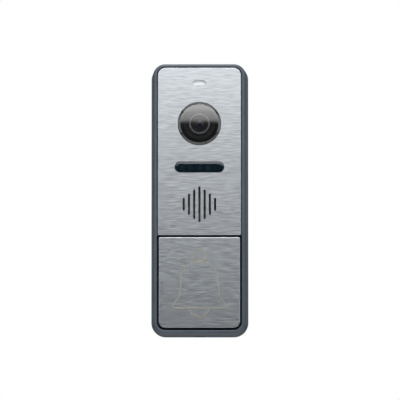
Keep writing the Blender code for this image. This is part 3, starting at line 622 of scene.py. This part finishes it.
# Each look's material, and the record's slot for the pieces that it covers. The two without a slot are
# only painted on some faces of a piece.
LOOKS = {
    "cast": (painted_casting(), "housing_paint"),
    "brushed": (brushed_metal(), "brushed_plate"),
    "line": (etched_line(), "brushed_plate"),
    "black": (moulded("black_plastic", (0.017, 0.017, 0.019), 0.5), "black_plastic"),
    "dark_barrel": (moulded("lens_barrel_black", (0.006, 0.006, 0.007), 0.42, 0.2, 4.0), "black_plastic"),
    "window": (clear_plastic("camera_window_clear", even(0.012), 0.62, 2.4, 0.015), "camera_window"),
    "smoked": (clear_plastic("smoked_window", (0.004, 0.013, 0.021), 0.73, 1.75, 0.03), "smoked_window"),
    "clear_back": (clear_plastic("window_rear_face", (0.01, 0.01, 0.012), 0.05, 1.3, 0.02), None),
    "ring": (rolled_steel("lens_ring", (0.62, 0.63, 0.66), 0.35, 0.8, 2.0), None),
    "glass": (coated_glass(), "coated_glass"),
    "rubber": (rubber("silicone_rubber", (0.028, 0.028, 0.03), 0.3), "rubber_seal"),
    "foam": (foam(), "foam_tape"),
    "zinc": (rolled_steel("zinc_steel", (0.60, 0.61, 0.61), 0.32, 1.6, 6.0), "zinc_steel"),
    "screw": (rolled_steel("screw_steel", (0.56, 0.56, 0.55), 0.28, 0.6, 3.0), "screw_steel"),
    "spring": (drawn_wire("spring_wire", (0.60, 0.60, 0.58), 0.22), "zinc_steel"),
    "board": (solder_mask(), "circuit_board"),
    "chip": (moulded("chip_epoxy", (0.014, 0.014, 0.016), 0.55, 0.12, 3.0), "chip_package"),
    "diffuser": (warm_white("white_diffuser", (0.86, 0.88, 0.90), 0.45, 0.1), "white_diffuser"),
    "white": (warm_white("white_plastic", (0.72, 0.72, 0.69), 0.4, 0.1), "white_plastic"),
    "led": (clear_plastic("led_resin", (0.30, 0.36, 0.42), 0.55, 1.5, 0.05), "led_resin"),
    "film": (speaker_film(), "cone_film"),
    "blue": (moulded("switch_blue", (0.02, 0.09, 0.30), 0.42, 0.25, 5.0), "switch_plastic"),
    "mesh": (drawn_wire("mesh_wire", (0.10, 0.105, 0.11), 0.4), "woven_mesh"),
}


# ---- the casting


def recess_outline(grown, steps=28):
    """The recess that holds the plates, larger all round by grown; its rim is narrower at the top."""
    radius = CORNER - RIM + grown
    low, high = -HEIGHT / 2 + RIM - grown, HEIGHT / 2 - TOP_RIM + grown
    return panel(WIDTH / 2 - RIM + grown, low, high, radius, radius, steps)


def casting_layers():
    """Outlines from the wall, round the shoulder and over the lip to the recess floor."""
    edge = 0.3
    points = [(edge * (1 - math.sin(t)), edge * (1 - math.cos(t))) for t in quarter(4)]
    points.append((DRAFT, DRAFT_END))
    for t in quarter(14)[1:]:
        inset = DRAFT + (SHOULDER_INSET - DRAFT) * (1 - math.cos(t))
        points.append((inset, DRAFT_END + (SHOULDER_END - DRAFT_END) * math.sin(t)))
    outer, lip = SHOULDER_INSET + 0.05, 0.35
    points += [(outer + lip * (1 - math.cos(t)), LIP_DEPTH - lip * (1 - math.sin(t))) for t in quarter(6)]
    layers = [(casting_outline(inset), depth) for inset, depth in points]
    for t in quarter(5):
        layers.append((recess_outline(edge * (1 - math.sin(t))), LIP_DEPTH - edge * (1 - math.cos(t))))
    layers.append((recess_outline(0.0), RECESS_FLOOR))
    return layers


def front_of(z):
    return FRONT_WALL if z > 0 else WELL_BACK


def make_housing():
    housing = stack("housing_fine", casting_layers())
    half, low = WIDTH / 2 - RIM, -HEIGHT / 2 + RIM
    cut(
        housing,
        slab("cut_well", panel(half, low, -18.1, CORNER - RIM, 0.8, 28), WELL_FLOOR, RECESS_FLOOR + 0.5),
        slab("cut_pocket", casting_outline(2.7), -1.0, LEDGE),
        slab("cut_upper", panel(19.2, -16.4, 60.0, 0.6, 2.0, 6), LEDGE - 0.5, FRONT_WALL),
        slab("cut_lower", panel(19.2, -57.8, -15.0, 2.0, 0.6, 6), LEDGE - 0.5, WELL_BACK),
    )
    ring = [(13.2, 14.6), (14.0, 14.6), (14.0, 18.3), (13.2, 18.3)]
    fuse(housing, turned("add_speaker_ring", ring, (0, SPEAKER_Z), 48))
    for n, (x, z) in enumerate(COVER_SCREWS):
        fuse(housing, rod(f"boss_{n}", 2.9, (x, z), LEDGE, front_of(z) + 0.6, 28))
    for n, (x, z) in enumerate(BOARD_SCREWS + BOARD_PINS):
        fuse(housing, rod(f"post_{n}", 2.0, (x, z), ON_BOARD, front_of(z) + 0.6, 24))
    for n, centre in enumerate(BOARD_PINS):
        fuse(housing, rod(f"pin_{n}", 0.85, centre, 5.2, ON_BOARD + 1.0, 16))
    for n, centre in enumerate(BOARD_SCREWS):
        cut(housing, rod(f"pilot_{n}", 1.0, centre, ON_BOARD - 1.0, 12.0, 20))
    for n, centre in enumerate(COVER_SCREWS):
        cut(housing, rod(f"cover_pilot_{n}", 1.0, centre, LEDGE - 1.0, 11.5, 20))
    cut_front_openings(housing)
    cut_fixings(housing)
    settle(housing)
    dress(housing, "cast", stands_for=("housing",))


def cut_front_openings(housing):
    back, front = FRONT_WALL - 0.5, RECESS_FLOOR + 0.5
    well_back, well_front = WELL_BACK - 0.5, WELL_FLOOR + 0.5
    cut(
        housing,
        slab("cut_camera", circle(9.2, 0, CAMERA_Z), back, front),
        slab("cut_ir", pill(11.2, 1.95, IR_Z), back, front),
        slab("cut_status", pill(3.6, 1.45, STATUS_Z), back, front),
        slab("cut_speaker", circle(9.5, 0, SPEAKER_Z), back, front),
        slab("cut_mesh_seat", circle(10.6, 0, SPEAKER_Z), 18.85, front),
        slab("cut_switch", circle(4.0, 0, BUTTON_MIDDLE, 40), well_back, well_front),
        slab("cut_spring_0", circle(3.0, -SPRING_X, BUTTON_MIDDLE, 32), 13.2, well_front),
        slab("cut_spring_1", circle(3.0, SPRING_X, BUTTON_MIDDLE, 32), 13.2, well_front),
    )
    for row, z in enumerate(HOOK_ROWS):
        for side, x in enumerate((HOOK_SLOT, (-HOOK_SLOT[1], -HOOK_SLOT[0]))):
            cut(housing, box(f"cut_hook_{row}_{side}", x, (well_back, well_front), (z - 1.9, z + 1.9)))


def cut_fixings(housing):
    """Room for the bracket's hook and tab, the locking screw's hole and the microphone's port."""
    wide = (-8.8, 8.8)
    sink = [(0, -69.0), (3.0, -69.0), (3.0, -66.8), (1.75, -65.4), (1.75, -61.5), (0, -61.5)]
    cut(
        housing,
        box("cut_hook_channel", wide, (-1.0, 9.0), (61.9, 64.3)),
        box("cut_hook_pocket", (-8.2, 8.2), (4.0, 6.2), (63.8, 66.0)),
        box("cut_tab_channel", wide, (-1.0, 12.0), (-64.8, -60.3)),
        turned("cut_lock", sink, (0, LOCK_DEPTH), 40, upright=True),
        rod("cut_mic_pocket", 3.35, MIC, -61.5, -57.0, 32, upright=True),
        rod("cut_mic_port", 0.75, MIC, -69.0, -61.0, 24, upright=True),
    )


# ---- plates on the front


def plate(name, half, low, high, low_radius, high_radius):
    """A plate with a fine rounded edge round its face."""
    edge = 0.25
    layers = []
    for inset, depth in [(0.12, PLATE_BACK), (0.0, PLATE_BACK + 0.12)] + [
        (edge * (1 - math.cos(t)), PLATE_FRONT - edge * (1 - math.sin(t))) for t in quarter(4)
    ]:
        low_r, high_r = low_radius - inset, high_radius - inset
        layers.append((panel(half - inset, low + inset, high - inset, low_r, high_r, 20), depth))
    return stack(name, layers)


def flared(name, outline, chamfer=0.05):
    """A cutter that widens by a small chamfer where it leaves the plate's face; outline takes a growth."""
    layers = [
        (outline(0.0), PLATE_BACK - 1.0),
        (outline(0.0), PLATE_FRONT - chamfer),
        (outline(chamfer), PLATE_FRONT),
        (outline(chamfer), PLATE_FRONT + 1.0),
    ]
    return stack(name, layers)


def make_front_plate():
    face = plate("front_plate_fine", PLATE_HALF, PLATE_BOTTOM, PLATE_TOP, 0.6, 3.65)
    cut(
        face,
        flared("cut_plate_camera", lambda g: circle(CAMERA_RADIUS + GAP + g, 0, CAMERA_Z, 96)),
        flared("cut_plate_ir", lambda g: pill(IR_HALF + GAP + g, IR_RISE + GAP + g, IR_Z)),
        flared("cut_plate_status", lambda g: pill(3.15 + g, 1.15 + g, STATUS_Z)),
    )
    for n, half_length in enumerate(SLOT_HALF_LENGTHS):
        x = (n - 3) * SLOT_PITCH
        cut(face, flared(f"cut_slot_{n}", slot_outline(x, half_length)))
    settle(face)
    dress(face, "brushed", stands_for=("front_plate",))
    refined("front_plate_tape", "foam", width=0.06, segments=1)


def slot_outline(x, half_length):
    return lambda grown: upright_pill(SLOT_HALF_WIDTH + grown, half_length + grown, x, SPEAKER_Z)


def woven_wires(name, radius, pitch, wire, centre_z, middle, sway):
    """Two crossing sets of round wires, each passing over and under the other set."""
    bm = bmesh.new()
    sides, per_pitch = 5, 2
    count = int(radius / pitch)
    for along in (0, 1):
        for n in range(-count, count + 1):
            across = n * pitch
            reach = math.sqrt(max(radius**2 - across**2, 0.0)) - wire
            steps = int(2 * reach / pitch * per_pitch)
            if steps < 4:
                continue
            rings = []
            for i in range(steps + 1):
                s = -reach + 2 * reach * i / steps
                lift = sway * math.cos(math.pi * s / pitch + math.pi * (n + along))
                ring = []
                for k in range(sides):
                    t = 2 * math.pi * k / sides
                    side, up = across + wire * math.cos(t), middle + lift + wire * math.sin(t)
                    x, z = (s, side) if along else (side, s)
                    ring.append(place(x, up, centre_z + z))
                rings.append(ring)
            bridged(bm, rings)
    return made_object(name, bm)


def make_speaker_mesh():
    mesh = woven_wires("speaker_mesh_fine", 10.25, 0.46, 0.075, SPEAKER_Z, 19.14, 0.075)
    rim = [(9.9, 18.98), (10.3, 18.98), (10.3, 19.3), (9.9, 19.3)]
    rim = turned("speaker_mesh_rim", rim, (0, SPEAKER_Z))
    dress(mesh, "mesh", stands_for=("speaker_mesh",), sharp=80)
    soft_edges(rim, 0.06)
    dress(rim, "mesh")


# ---- camera


def dome(radius, edge, apex, steps):
    turns = [math.radians(90 * i / steps) for i in range(1, steps)]
    return [(radius * math.cos(t), edge + (apex - edge) * math.sin(t)) for t in turns] + [(0, apex)]


def shallow_cap(radius, edge, apex, steps):
    """(radius, depth) over a spherical cap, from just inside its edge to its middle."""
    rise = apex - edge
    ball = (radius**2 + rise**2) / (2 * rise)
    reach = math.asin(radius / ball)
    turns = [reach * (1 - i / steps) for i in range(1, steps)]
    return [(ball * math.sin(t), apex - ball * (1 - math.cos(t))) for t in turns] + [(0, apex)]


def make_camera():
    centre = (0, CAMERA_Z)
    skirt = [(0, 21.6), (7.9, 21.1), (7.9, 16.8), (8.9, 16.8), (8.9, PLATE_BACK)]
    skirt.append((CAMERA_RADIUS, PLATE_BACK))
    shoulder = [(CAMERA_RADIUS, 21.3), (10.49, 21.52), (10.33, 21.74), (10.08, 21.93)]
    shoulder = smooth_line(shoulder + [(9.78, 22.11), (9.45, 22.27)], 3)
    crown = shoulder + shallow_cap(9.4, 22.29, 23.2, 18)
    window = lathe("camera_window", "window", skirt + crown, centre, steps=128, sharp=60)
    repaint(window, "clear_back", faces_wall)
    seal = [(9.3, 19.5), (10.5, 19.5), (10.5, 19.9), (9.3, 19.9)]
    lathe("camera_window_seal", "rubber", seal, centre, 0.12)
    baffle = [(5.4, 18.2), (7.7, 18.2), (7.7, 19.4), (5.4, 19.0)]
    lathe("camera_baffle", "black", baffle, centre, 0.15, steps=72)
    barrel = [(4.95, 20.6), (4.65, 20.6)]
    for k in range(5):
        radius, depth = 4.3 - 0.37 * k, 20.3 - 0.28 * k
        barrel += [(radius, depth), (radius - 0.1, depth - 0.02)]
    barrel += [(2.8, 19.0), (2.8, 17.7), (2.0, 17.7), (2.0, 10.0), (4.85, 10.0), (4.85, 15.0)]
    barrel += [(5.15, 15.2), (5.15, 20.4)]
    barrel = lathe("lens_barrel", "dark_barrel", barrel, centre, 0.1, 3, 96)
    repaint(barrel, "ring", lambda face: face.center.y < -20.35 * MM)
    glass = [(0, 17.9), (2.6, 17.9), (2.6, 18.8)] + dome(2.6, 18.8, 19.8, 12)
    lathe("lens_glass", "glass", glass, centre, sharp=50)
    refined("lens_holder", "black", width=0.2)
    refined("image_sensor", "chip", width=0.08)


# ---- infrared lights and status light


def ir_crown():
    """(inset, depth) over the window's rounded edge, its wide shallow bevel and its flat middle."""
    edge, bevel_end, flat = 0.14, 1.12, 21.45
    slope = 0.14
    shelf = flat - slope * (bevel_end - edge)
    points = [(edge * (1 - math.cos(t)), shelf - edge * (1 - math.sin(t))) for t in quarter(4)]
    points += [(bevel_end - 0.1, flat - 0.1 * slope), (bevel_end, flat - 0.04 * slope)]
    return points + [(bevel_end + 0.1, flat)]


def make_infrared():
    skirt = pill(10.9, 1.7, IR_Z)
    layers = [(skirt, 17.2), (skirt, PLATE_BACK), (pill(IR_HALF, IR_RISE, IR_Z), PLATE_BACK)]
    layers += [(pill(IR_HALF - i, IR_RISE - i, IR_Z), depth) for i, depth in ir_crown()]
    window = stack("ir_window_fine", layers)
    dress(window, "smoked", stands_for=("ir_window",), sharp=50)
    repaint(window, "clear_back", faces_wall)
    refined("ir_window_seal", "rubber", width=0.08)
    refined("ir_led_board", "board", width=0.05, segments=1)
    led = [(0, 12.7), (1.75, 12.7), (1.75, 13.3), (1.5, 13.3), (1.5, 15.4)] + dome(1.5, 15.4, 16.9, 10)
    for n in range(5):
        lathe(f"ir_led_{n + 1}", "led", led, ((n - 2) * LED_PITCH, IR_Z), steps=32, sharp=50)


def make_status_light():
    length, rise, edge, front = 3.38, 1.23, 0.12, 19.85
    guide, flange = (length, rise), (4.4, 2.1)
    layers = [(guide, 9.7), (guide, 16.5), (flange, 16.5), (flange, 17.5), (guide, 17.5)]
    layers.append((guide, front - edge))
    layers = [(pill(*size, STATUS_Z), depth) for size, depth in layers]
    for t in quarter(4)[1:]:
        inset = edge * (1 - math.cos(t))
        layers.append((pill(length - inset, rise - inset, STATUS_Z), front - edge * (1 - math.sin(t))))
    guide = stack("status_light_guide_fine", layers)
    dress(guide, "diffuser", stands_for=("status_light_guide",))
    refined("status_led", "white", width=0.1)


# ---- sound


def make_sound():
    centre = (0, SPEAKER_Z)
    gasket = [(9.8, 17.1), (12.8, 17.1), (12.8, 17.65), (9.8, 17.65)]
    basket = [(12.9, 17.0), (11.5, 17.0), (11.5, 15.9), (7.2, 13.6), (4.4, 13.6), (4.4, 13.0)]
    basket += [(7.6, 13.0), (12.3, 15.3), (12.9, 15.9)]
    magnet = [(0, 12.8), (3.15, 12.8), (3.15, 10.6), (4.3, 10.6), (4.3, 12.8), (6.4, 12.8)]
    magnet += [(6.4, 9.4), (0, 9.4)]
    lathe("speaker_gasket", "foam", gasket, centre, 0.15, 3)
    lathe("speaker_frame", "zinc", basket, centre, 0.15, 3)
    lathe("speaker_magnet", "zinc", magnet, centre, 0.15, 3)
    make_cone(centre)
    boot = [(0.75, -61.3), (3.15, -61.3), (3.15, -57.4), (2.6, -57.4), (2.6, -60.5), (0.75, -60.5)]
    lathe("microphone_boot", "rubber", boot, MIC, 0.15, 3, 40, upright=True)
    capsule = [(0, -60.3), (2.4, -60.3), (2.4, -57.6), (0, -57.6)]
    lathe("microphone_capsule", "zinc", capsule, MIC, 0.2, 3, 40, upright=True)


def make_cone(centre):
    """The speaker's moving film: dust dome, ribbed cone, half-roll edge and voice coil."""
    front = smooth_line([(0, 16.0), (1.4, 15.95), (2.5, 15.75), (3.5, 15.3), (3.9, 15.1)], 4)
    ribs = 5
    for i in range(1, 31):
        t = i / 31
        front.append((3.9 + 4.7 * t, 15.1 + 1.2 * t - 0.06 * math.sin(math.pi * ribs * t) ** 2))
    roll = [(8.6, 16.3), (9.1, 16.58), (9.6, 16.7), (10.2, 16.66), (10.5, 16.6), (11.1, 16.55)]
    front += smooth_line(roll, 4)
    back = [(11.1, 16.3), (9.7, 16.35), (8.7, 15.95), (3.95, 14.6), (3.95, 11.4), (3.5, 11.4), (3.5, 14.9)]
    lathe("speaker_cone", "film", front + back + [(0, 15.6)], centre, body="speaker_cone")


# ---- call button


def bell_paths():
    """The generic bell sign: (points, whether the line is closed)."""
    shoulder = [(8.95 * math.sin(t), -38.2 + 7.5 * math.cos(t)) for t in quarter(20)]
    flank = [(8.95, -38.2), (9.12, -41.0), (9.4, -43.9), (9.95, -47.3), (10.88, -49.2)]
    flank = smooth_line(flank + [(12.15, -50.75), (12.8, -51.7)])
    foot = arc(12.1, -52.39, 0.95, 35, -90, 10)
    right = shoulder + flank[1:] + foot
    left = [(-x, z) for x, z in reversed(right[1:])]
    return (
        (circle(3.08, 0, -27.58, 48), True),
        (right + left, True),
        (arc(0, -52.86, 4.85, 197.3, 342.7, 28), False),
    )


def ribbon(name, points, closed, width, back, front):
    """A solid line of constant width along points."""
    count = len(points)
    rings = []
    for i, (x, z) in enumerate(points):
        before = points[i - 1] if closed or i else points[i]
        after = points[(i + 1) % count] if closed or i < count - 1 else points[i]
        along = Vector((after[0] - before[0], after[1] - before[1])).normalized()
        side = Vector((-along.y, along.x)) * width / 2
        left, right = (x + side.x, z + side.y), (x - side.x, z - side.y)
        section = ((left, back), (right, back), (right, front), (left, front))
        rings.append([place(point[0], depth, point[1]) for point, depth in section])
    bm = bmesh.new()
    if closed:
        rings.append(rings[0])
    bridged(bm, rings, capped=not closed)
    return made_object(name, bm)


def make_call_button():
    face = plate("button_plate_fine", BUTTON_HALF, BUTTON_BOTTOM, BUTTON_TOP, 3.3, 0.5)
    engraved, line, wider = 0.09, 0.46, 0.02
    for n, (points, closed) in enumerate(bell_paths()):
        bottom, above = PLATE_FRONT - engraved - 0.005 * n, PLATE_FRONT + 0.3 + 0.02 * n
        cut(face, ribbon(f"groove_{n}", points, closed, line + wider, bottom, above))
        inlay = ribbon(f"bell_line_{n + 1}", points, closed, line - wider, bottom + 0.01, bottom + 0.06)
        dress(inlay, "line", "call_button")
    settle(face)
    dress(face, "brushed", "call_button", ("button_plate",))
    refined("button_tape", "foam", "call_button", 0.06, 1)
    refined("button_carrier", "black", "call_button", 0.12)
    for name, x in (("return_spring_left", -SPRING_X), ("return_spring_right", SPRING_X)):
        make_spring(name, x)
    boot = [(0, 14.35), (1.5, 14.35), (1.5, 15.7), (2.9, 15.7), (4.6, 14.1), (7.0, 14.1)]
    boot += [(7.0, 14.8), (5.0, 14.9), (3.2, 16.35), (0, 16.35)]
    boot = lathe("button_boot", "rubber", boot, (0, BUTTON_MIDDLE), 0.3)
    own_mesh(boot)
    refined("switch_body", "chip", width=0.12)
    stem = [(0, 9.7), (1.6, 9.7), (1.6, 13.8), (0, 13.8)]
    lathe("switch_stem", "white", stem, (0, BUTTON_MIDDLE), 0.2, steps=40, body="switch_stem")


def make_spring(name, x):
    """A round-wire coil spring whose end coils lie nearly flat."""
    wire, mean, turns, per_turn, sides = 0.24, 2.3, 4.5, 36, 10
    start, end = 13.3 + wire, 17.9 - wire
    bm = bmesh.new()
    rings = []
    count = int(turns * per_turn)
    for i in range(count + 1):
        t = i / count
        a = 2 * math.pi * turns * t
        depth = start + (end - start) * (t - 0.06 * math.sin(2 * math.pi * t))
        ring = []
        for k in range(sides):
            b = 2 * math.pi * k / sides
            out = mean + wire * math.cos(b)
            z = BUTTON_MIDDLE + out * math.sin(a)
            ring.append(place(x + out * math.cos(a), depth + wire * math.sin(b), z))
        rings.append(ring)
    bridged(bm, rings)
    spring = made_object(name + "_fine", bm)
    dress(spring, "spring", stands_for=(name,), sharp=60)
    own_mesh(spring)


# ---- rear and inner pieces


def make_controls():
    refined("volume_trimmer_body", "blue", width=0.15)
    rotor = rounded([(0, 2.9), (2.1, 2.9), (2.3, 3.1), (2.3, 5.0), (0, 5.0)], 0.12)
    rotor = turned("volume_trimmer_rotor_fine", rotor, TRIMMER, 48)
    x, z = TRIMMER
    cut(rotor, box("cut_rotor_slot", (x - 0.4, x + 0.4), (2.0, 3.7), (z - 1.8, z + 1.2)))
    settle(rotor)
    dress(rotor, "white", "volume_rotor", ("volume_trimmer_rotor",))
    refined("mode_switch_body", "blue", width=0.12)
    for n in (1, 2):
        refined(f"mode_slider_{n}", "white", f"mode_slider_{n}", 0.12)


def make_rear():
    refined("rear_cover", "black", width=0.15)
    refined("rear_gasket", "rubber", width=0.1)
    refined("wall_bracket", "zinc", width=0.15, segments=3)
    grommet = [(3.2, 2.5), (5.4, 2.5), (5.6, 2.75), (5.6, 3.2), (4.1, 3.2), (4.1, 4.2)]
    grommet += [(5.2, 4.2), (4.9, 5.0), (3.2, 5.0)]
    lathe("cable_grommet", "rubber", grommet, (0, GROMMET_Z), 0.25, steps=56)


def make_electronics():
    plain = {
        "camera_board": ("board", 0.06),
        "main_board": ("board", 0.06),
        "board_ribbon": ("white", 0.05),
        "lock_relay": ("chip", 0.25),
        "audio_chip": ("chip", 0.12),
        "cable_header": ("white", 0.12),
    }
    for node, (look, width) in plain.items():
        refined(node, look, width=width)
    can = [(0, ON_BOARD), (3.3, ON_BOARD), (3.3, 8.5), (3.0, 8.9), (3.15, 9.2), (3.15, 14.8)]
    can += [(2.8, 15.2), (0, 15.2)]
    lathe("power_capacitor", "zinc", can, (13.0, 31.0), 0.2, steps=48)


# ---- screws


def threaded(name, head, shank, tip, recess, pitch=0.5, sides=28):
    """A screw along +Y with its head's face at Y = 0.

    head is (radius, along) points of the head; shank is (radius, start, end) of the thread;
    recess is (reach, depth) of the six-lobed driver hole.
    """
    radius, start, end = shank
    rows = [(r, y, 0.0) for r, y in head]
    per_pitch = 6
    count = int((end - start) / pitch * per_pitch)
    rows += [(radius, start + (end - start) * i / count, 1.0) for i in range(count + 1)]
    rows += [(r, y, 0.0) for r, y in tip]
    rings = []
    crest = 0.11
    for r, y, thread in rows:
        ring = []
        for k in range(sides):
            a = 2 * math.pi * k / sides
            wave = abs(((y / pitch - k / sides) % 1.0) * 2 - 1)
            out = r + thread * crest * (wave - 0.5)
            ring.append(Vector((out * math.cos(a), y, out * math.sin(a))) * MM)
        rings.append(ring)
    bm = bmesh.new()
    bridged(bm, rings)
    screw = made_object(name, bm)
    reach, depth = recess
    star = []
    for k in range(48):
        a = 2 * math.pi * k / 48
        out = reach * (0.86 + 0.14 * math.cos(6 * a))
        star.append((out * math.cos(a), out * math.sin(a)))
    bm = bmesh.new()
    bridged(bm, [[Vector((x, y, z)) * MM for x, z in star] for y in (-0.3, depth)])
    cut(screw, made_object(name + "_recess", bm))
    return settle(screw)


def put_screw(name, screw, where, turn, upright=False):
    """A copy of a screw with its head at where; a wall screw's shank runs towards the front."""
    facing = Matrix.Rotation(math.radians(90), 4, "X") if upright else Matrix.Rotation(math.pi, 4, "Z")
    copy = linked(name + "_fine", screw.data.copy())
    copy.data.transform(Matrix.Translation(place(*where)) @ facing @ Matrix.Rotation(turn, 4, "Y"))
    dress(copy, "screw", stands_for=(name,))


def make_screws():
    pan = [(1.35, 0), (1.75, 0.06), (2.02, 0.22), (2.17, 0.5), (2.2, 0.8)]
    pan += [(2.2, 1.15), (2.12, 1.2), (0.9, 1.2)]
    screw = threaded("pan_screw", pan, (0.84, 1.4, 7.1), [(0.4, 7.75), (0.1, 7.8)], (0.95, 0.6))
    for n, (x, z) in enumerate(COVER_SCREWS):
        put_screw(f"cover_screw_{n + 1}", screw, (x, 2.0, z), 0.5 + 1.3 * n)
    small = [(1.15, 0), (1.5, 0.06), (1.76, 0.24), (1.88, 0.5), (1.9, 1.04), (1.84, 1.1), (0.85, 1.1)]
    small_screw = threaded("small_screw", small, (0.78, 1.3, 5.8), [(0.4, 6.25), (0.1, 6.3)], (0.85, 0.5))
    for n, (x, z) in enumerate(BOARD_SCREWS):
        put_screw(f"board_screw_{n + 1}", small_screw, (x, 4.75, z), 0.2 + 0.9 * n)
    flat = [(2.6, 0), (2.7, 0.04), (2.74, 0.14), (2.68, 0.25), (1.55, 1.36), (1.45, 1.6)]
    flat_screw = threaded("flat_screw", flat, (1.4, 1.7, 5.2), [(1.0, 5.75), (0.3, 5.8)], (1.1, 0.9))
    put_screw("locking_screw", flat_screw, (0, LOCK_DEPTH, -66.85), 0.7, upright=True)
    for pattern in (screw, small_screw, flat_screw):
        bpy.data.objects.remove(pattern)


# ---- camera, light and stage


def aimed(obj, where, direction):
    """Puts a camera or a lamp at a place, facing along a direction."""
    obj.location = where
    obj.rotation_mode = "QUATERNION"
    obj.rotation_quaternion = direction.to_track_quat("-Z", "Y")


def make_view():
    distance, azimuth, elevation = 1.5, math.radians(0.64), math.radians(-3.67)
    aim = Vector((0.00006, 0.0, 0.00064))
    flat = math.cos(elevation)
    back = Vector((math.sin(azimuth) * flat, -math.cos(azimuth) * flat, math.sin(elevation)))
    data = bpy.data.cameras.new("view")
    data.sensor_width = 36.0
    data.lens = 272.1
    data.clip_start = 0.05
    camera = linked("view", data)
    aimed(camera, aim + back * distance, -back)
    bpy.context.scene.camera = camera


def softbox(name, where, towards, size, radiance):
    """A rectangular light of an even radiance, in metres."""
    data = bpy.data.lights.new(name, "AREA")
    data.shape = "RECTANGLE"
    data.size, data.size_y = size
    data.energy = radiance * math.pi * size[0] * size[1]
    lamp = linked(name, data)
    aimed(lamp, where, Vector(towards) - Vector(where))
    lamp.visible_camera = False


def make_world():
    """White behind the object for the camera; for reflections, a cool room whose light fades
    straight ahead of the panel and towards the ground."""
    world = bpy.data.worlds.new("studio")
    bpy.context.scene.world = world
    world.use_nodes = True
    nodes, links = world.node_tree.nodes, world.node_tree.links
    nodes.clear()
    direction = nodes.new("ShaderNodeSeparateXYZ")
    links.new(nodes.new("ShaderNodeTexCoord").outputs["Generated"], direction.inputs[0])
    strength = None
    for axis, *limits in ROOM:
        ramp = nodes.new("ShaderNodeMapRange")
        ramp.interpolation_type = "SMOOTHSTEP"
        set_range(ramp, *limits)
        links.new(direction.outputs[axis], ramp.inputs["Value"])
        if strength:
            product = nodes.new("ShaderNodeMath")
            product.operation = "MULTIPLY"
            links.new(strength, product.inputs[0])
            links.new(ramp.outputs["Result"], product.inputs[1])
            strength = product.outputs[0]
        else:
            strength = ramp.outputs["Result"]
    room = nodes.new("ShaderNodeBackground")
    room.inputs["Color"].default_value = ROOM_COLOUR
    links.new(strength, room.inputs["Strength"])
    white = nodes.new("ShaderNodeBackground")
    white.inputs["Color"].default_value = (1.0, 1.0, 1.0, 1.0)
    path = nodes.new("ShaderNodeLightPath")
    mix = nodes.new("ShaderNodeMixShader")
    out = nodes.new("ShaderNodeOutputWorld")
    links.new(path.outputs["Is Camera Ray"], mix.inputs[0])
    links.new(room.outputs[0], mix.inputs[1])
    links.new(white.outputs[0], mix.inputs[2])
    links.new(mix.outputs[0], out.inputs["Surface"])


def flat_panel(name, corners):
    bm = bmesh.new()
    bm.faces.new([bm.verts.new(corner) for corner in corners])
    return made_object(name, bm)


def make_floor():
    corners = ((-1, -1), (1, -1), (1, 1), (-1, 1))
    floor = flat_panel("floor", [(x * FLOOR_HALF, y * FLOOR_HALF, FLOOR_LEVEL) for x, y in corners])
    pale = even(0.8)
    look = Look("pale_floor", pale, 0.7)
    look.colour(look.noise(even(60.0), 4.0), shade(pale, 0.98), shade(pale, 1.02))
    floor.data.materials.append(look.material)


def make_front_light():
    """A large diffuser in front of and above the camera, whose glow grows from its lower edge upwards."""
    half, low, high = DIFFUSER_HALF, DIFFUSER_LOW, DIFFUSER_HIGH
    corners = ((-half, low), (half, low), (half, high), (-half, high))
    diffuser = flat_panel("front_diffuser", [(x, DIFFUSER_Y, z) for x, z in corners])
    material = bpy.data.materials.new("diffuser_glow")
    material.use_nodes = True
    nodes, links = material.node_tree.nodes, material.node_tree.links
    nodes.clear()
    height = nodes.new("ShaderNodeSeparateXYZ")
    links.new(nodes.new("ShaderNodeTexCoord").outputs["Object"], height.inputs[0])
    share = nodes.new("ShaderNodeMapRange")
    set_range(share, low, high, 0.0, 1.0)
    links.new(height.outputs["Z"], share.inputs["Value"])
    ramp = nodes.new("ShaderNodeValToRGB")
    for place_of_stop, brightness in GLOW:
        stop = ramp.color_ramp.elements.new(place_of_stop)
        stop.color = (*even(brightness), 1.0)
    for unused in (0, -1):
        ramp.color_ramp.elements.remove(ramp.color_ramp.elements[unused])
    links.new(share.outputs["Result"], ramp.inputs["Fac"])
    glow = nodes.new("ShaderNodeEmission")
    glow.inputs["Strength"].default_value = GLOW_STRENGTH
    links.new(ramp.outputs["Color"], glow.inputs["Color"])
    out = nodes.new("ShaderNodeOutputMaterial")
    links.new(glow.outputs[0], out.inputs["Surface"])
    diffuser.data.materials.append(material)
    diffuser.visible_camera = False


def make_light():
    make_front_light()
    for name, settings in SOFTBOXES.items():
        softbox(name, *settings)
    bpy.context.scene.view_settings.view_transform = "Standard"


make_housing()
make_front_plate()
make_speaker_mesh()
make_camera()
make_infrared()
make_status_light()
make_sound()
make_call_button()
make_controls()
make_rear()
make_electronics()
make_screws()
make_view()
make_world()
make_floor()
make_light()
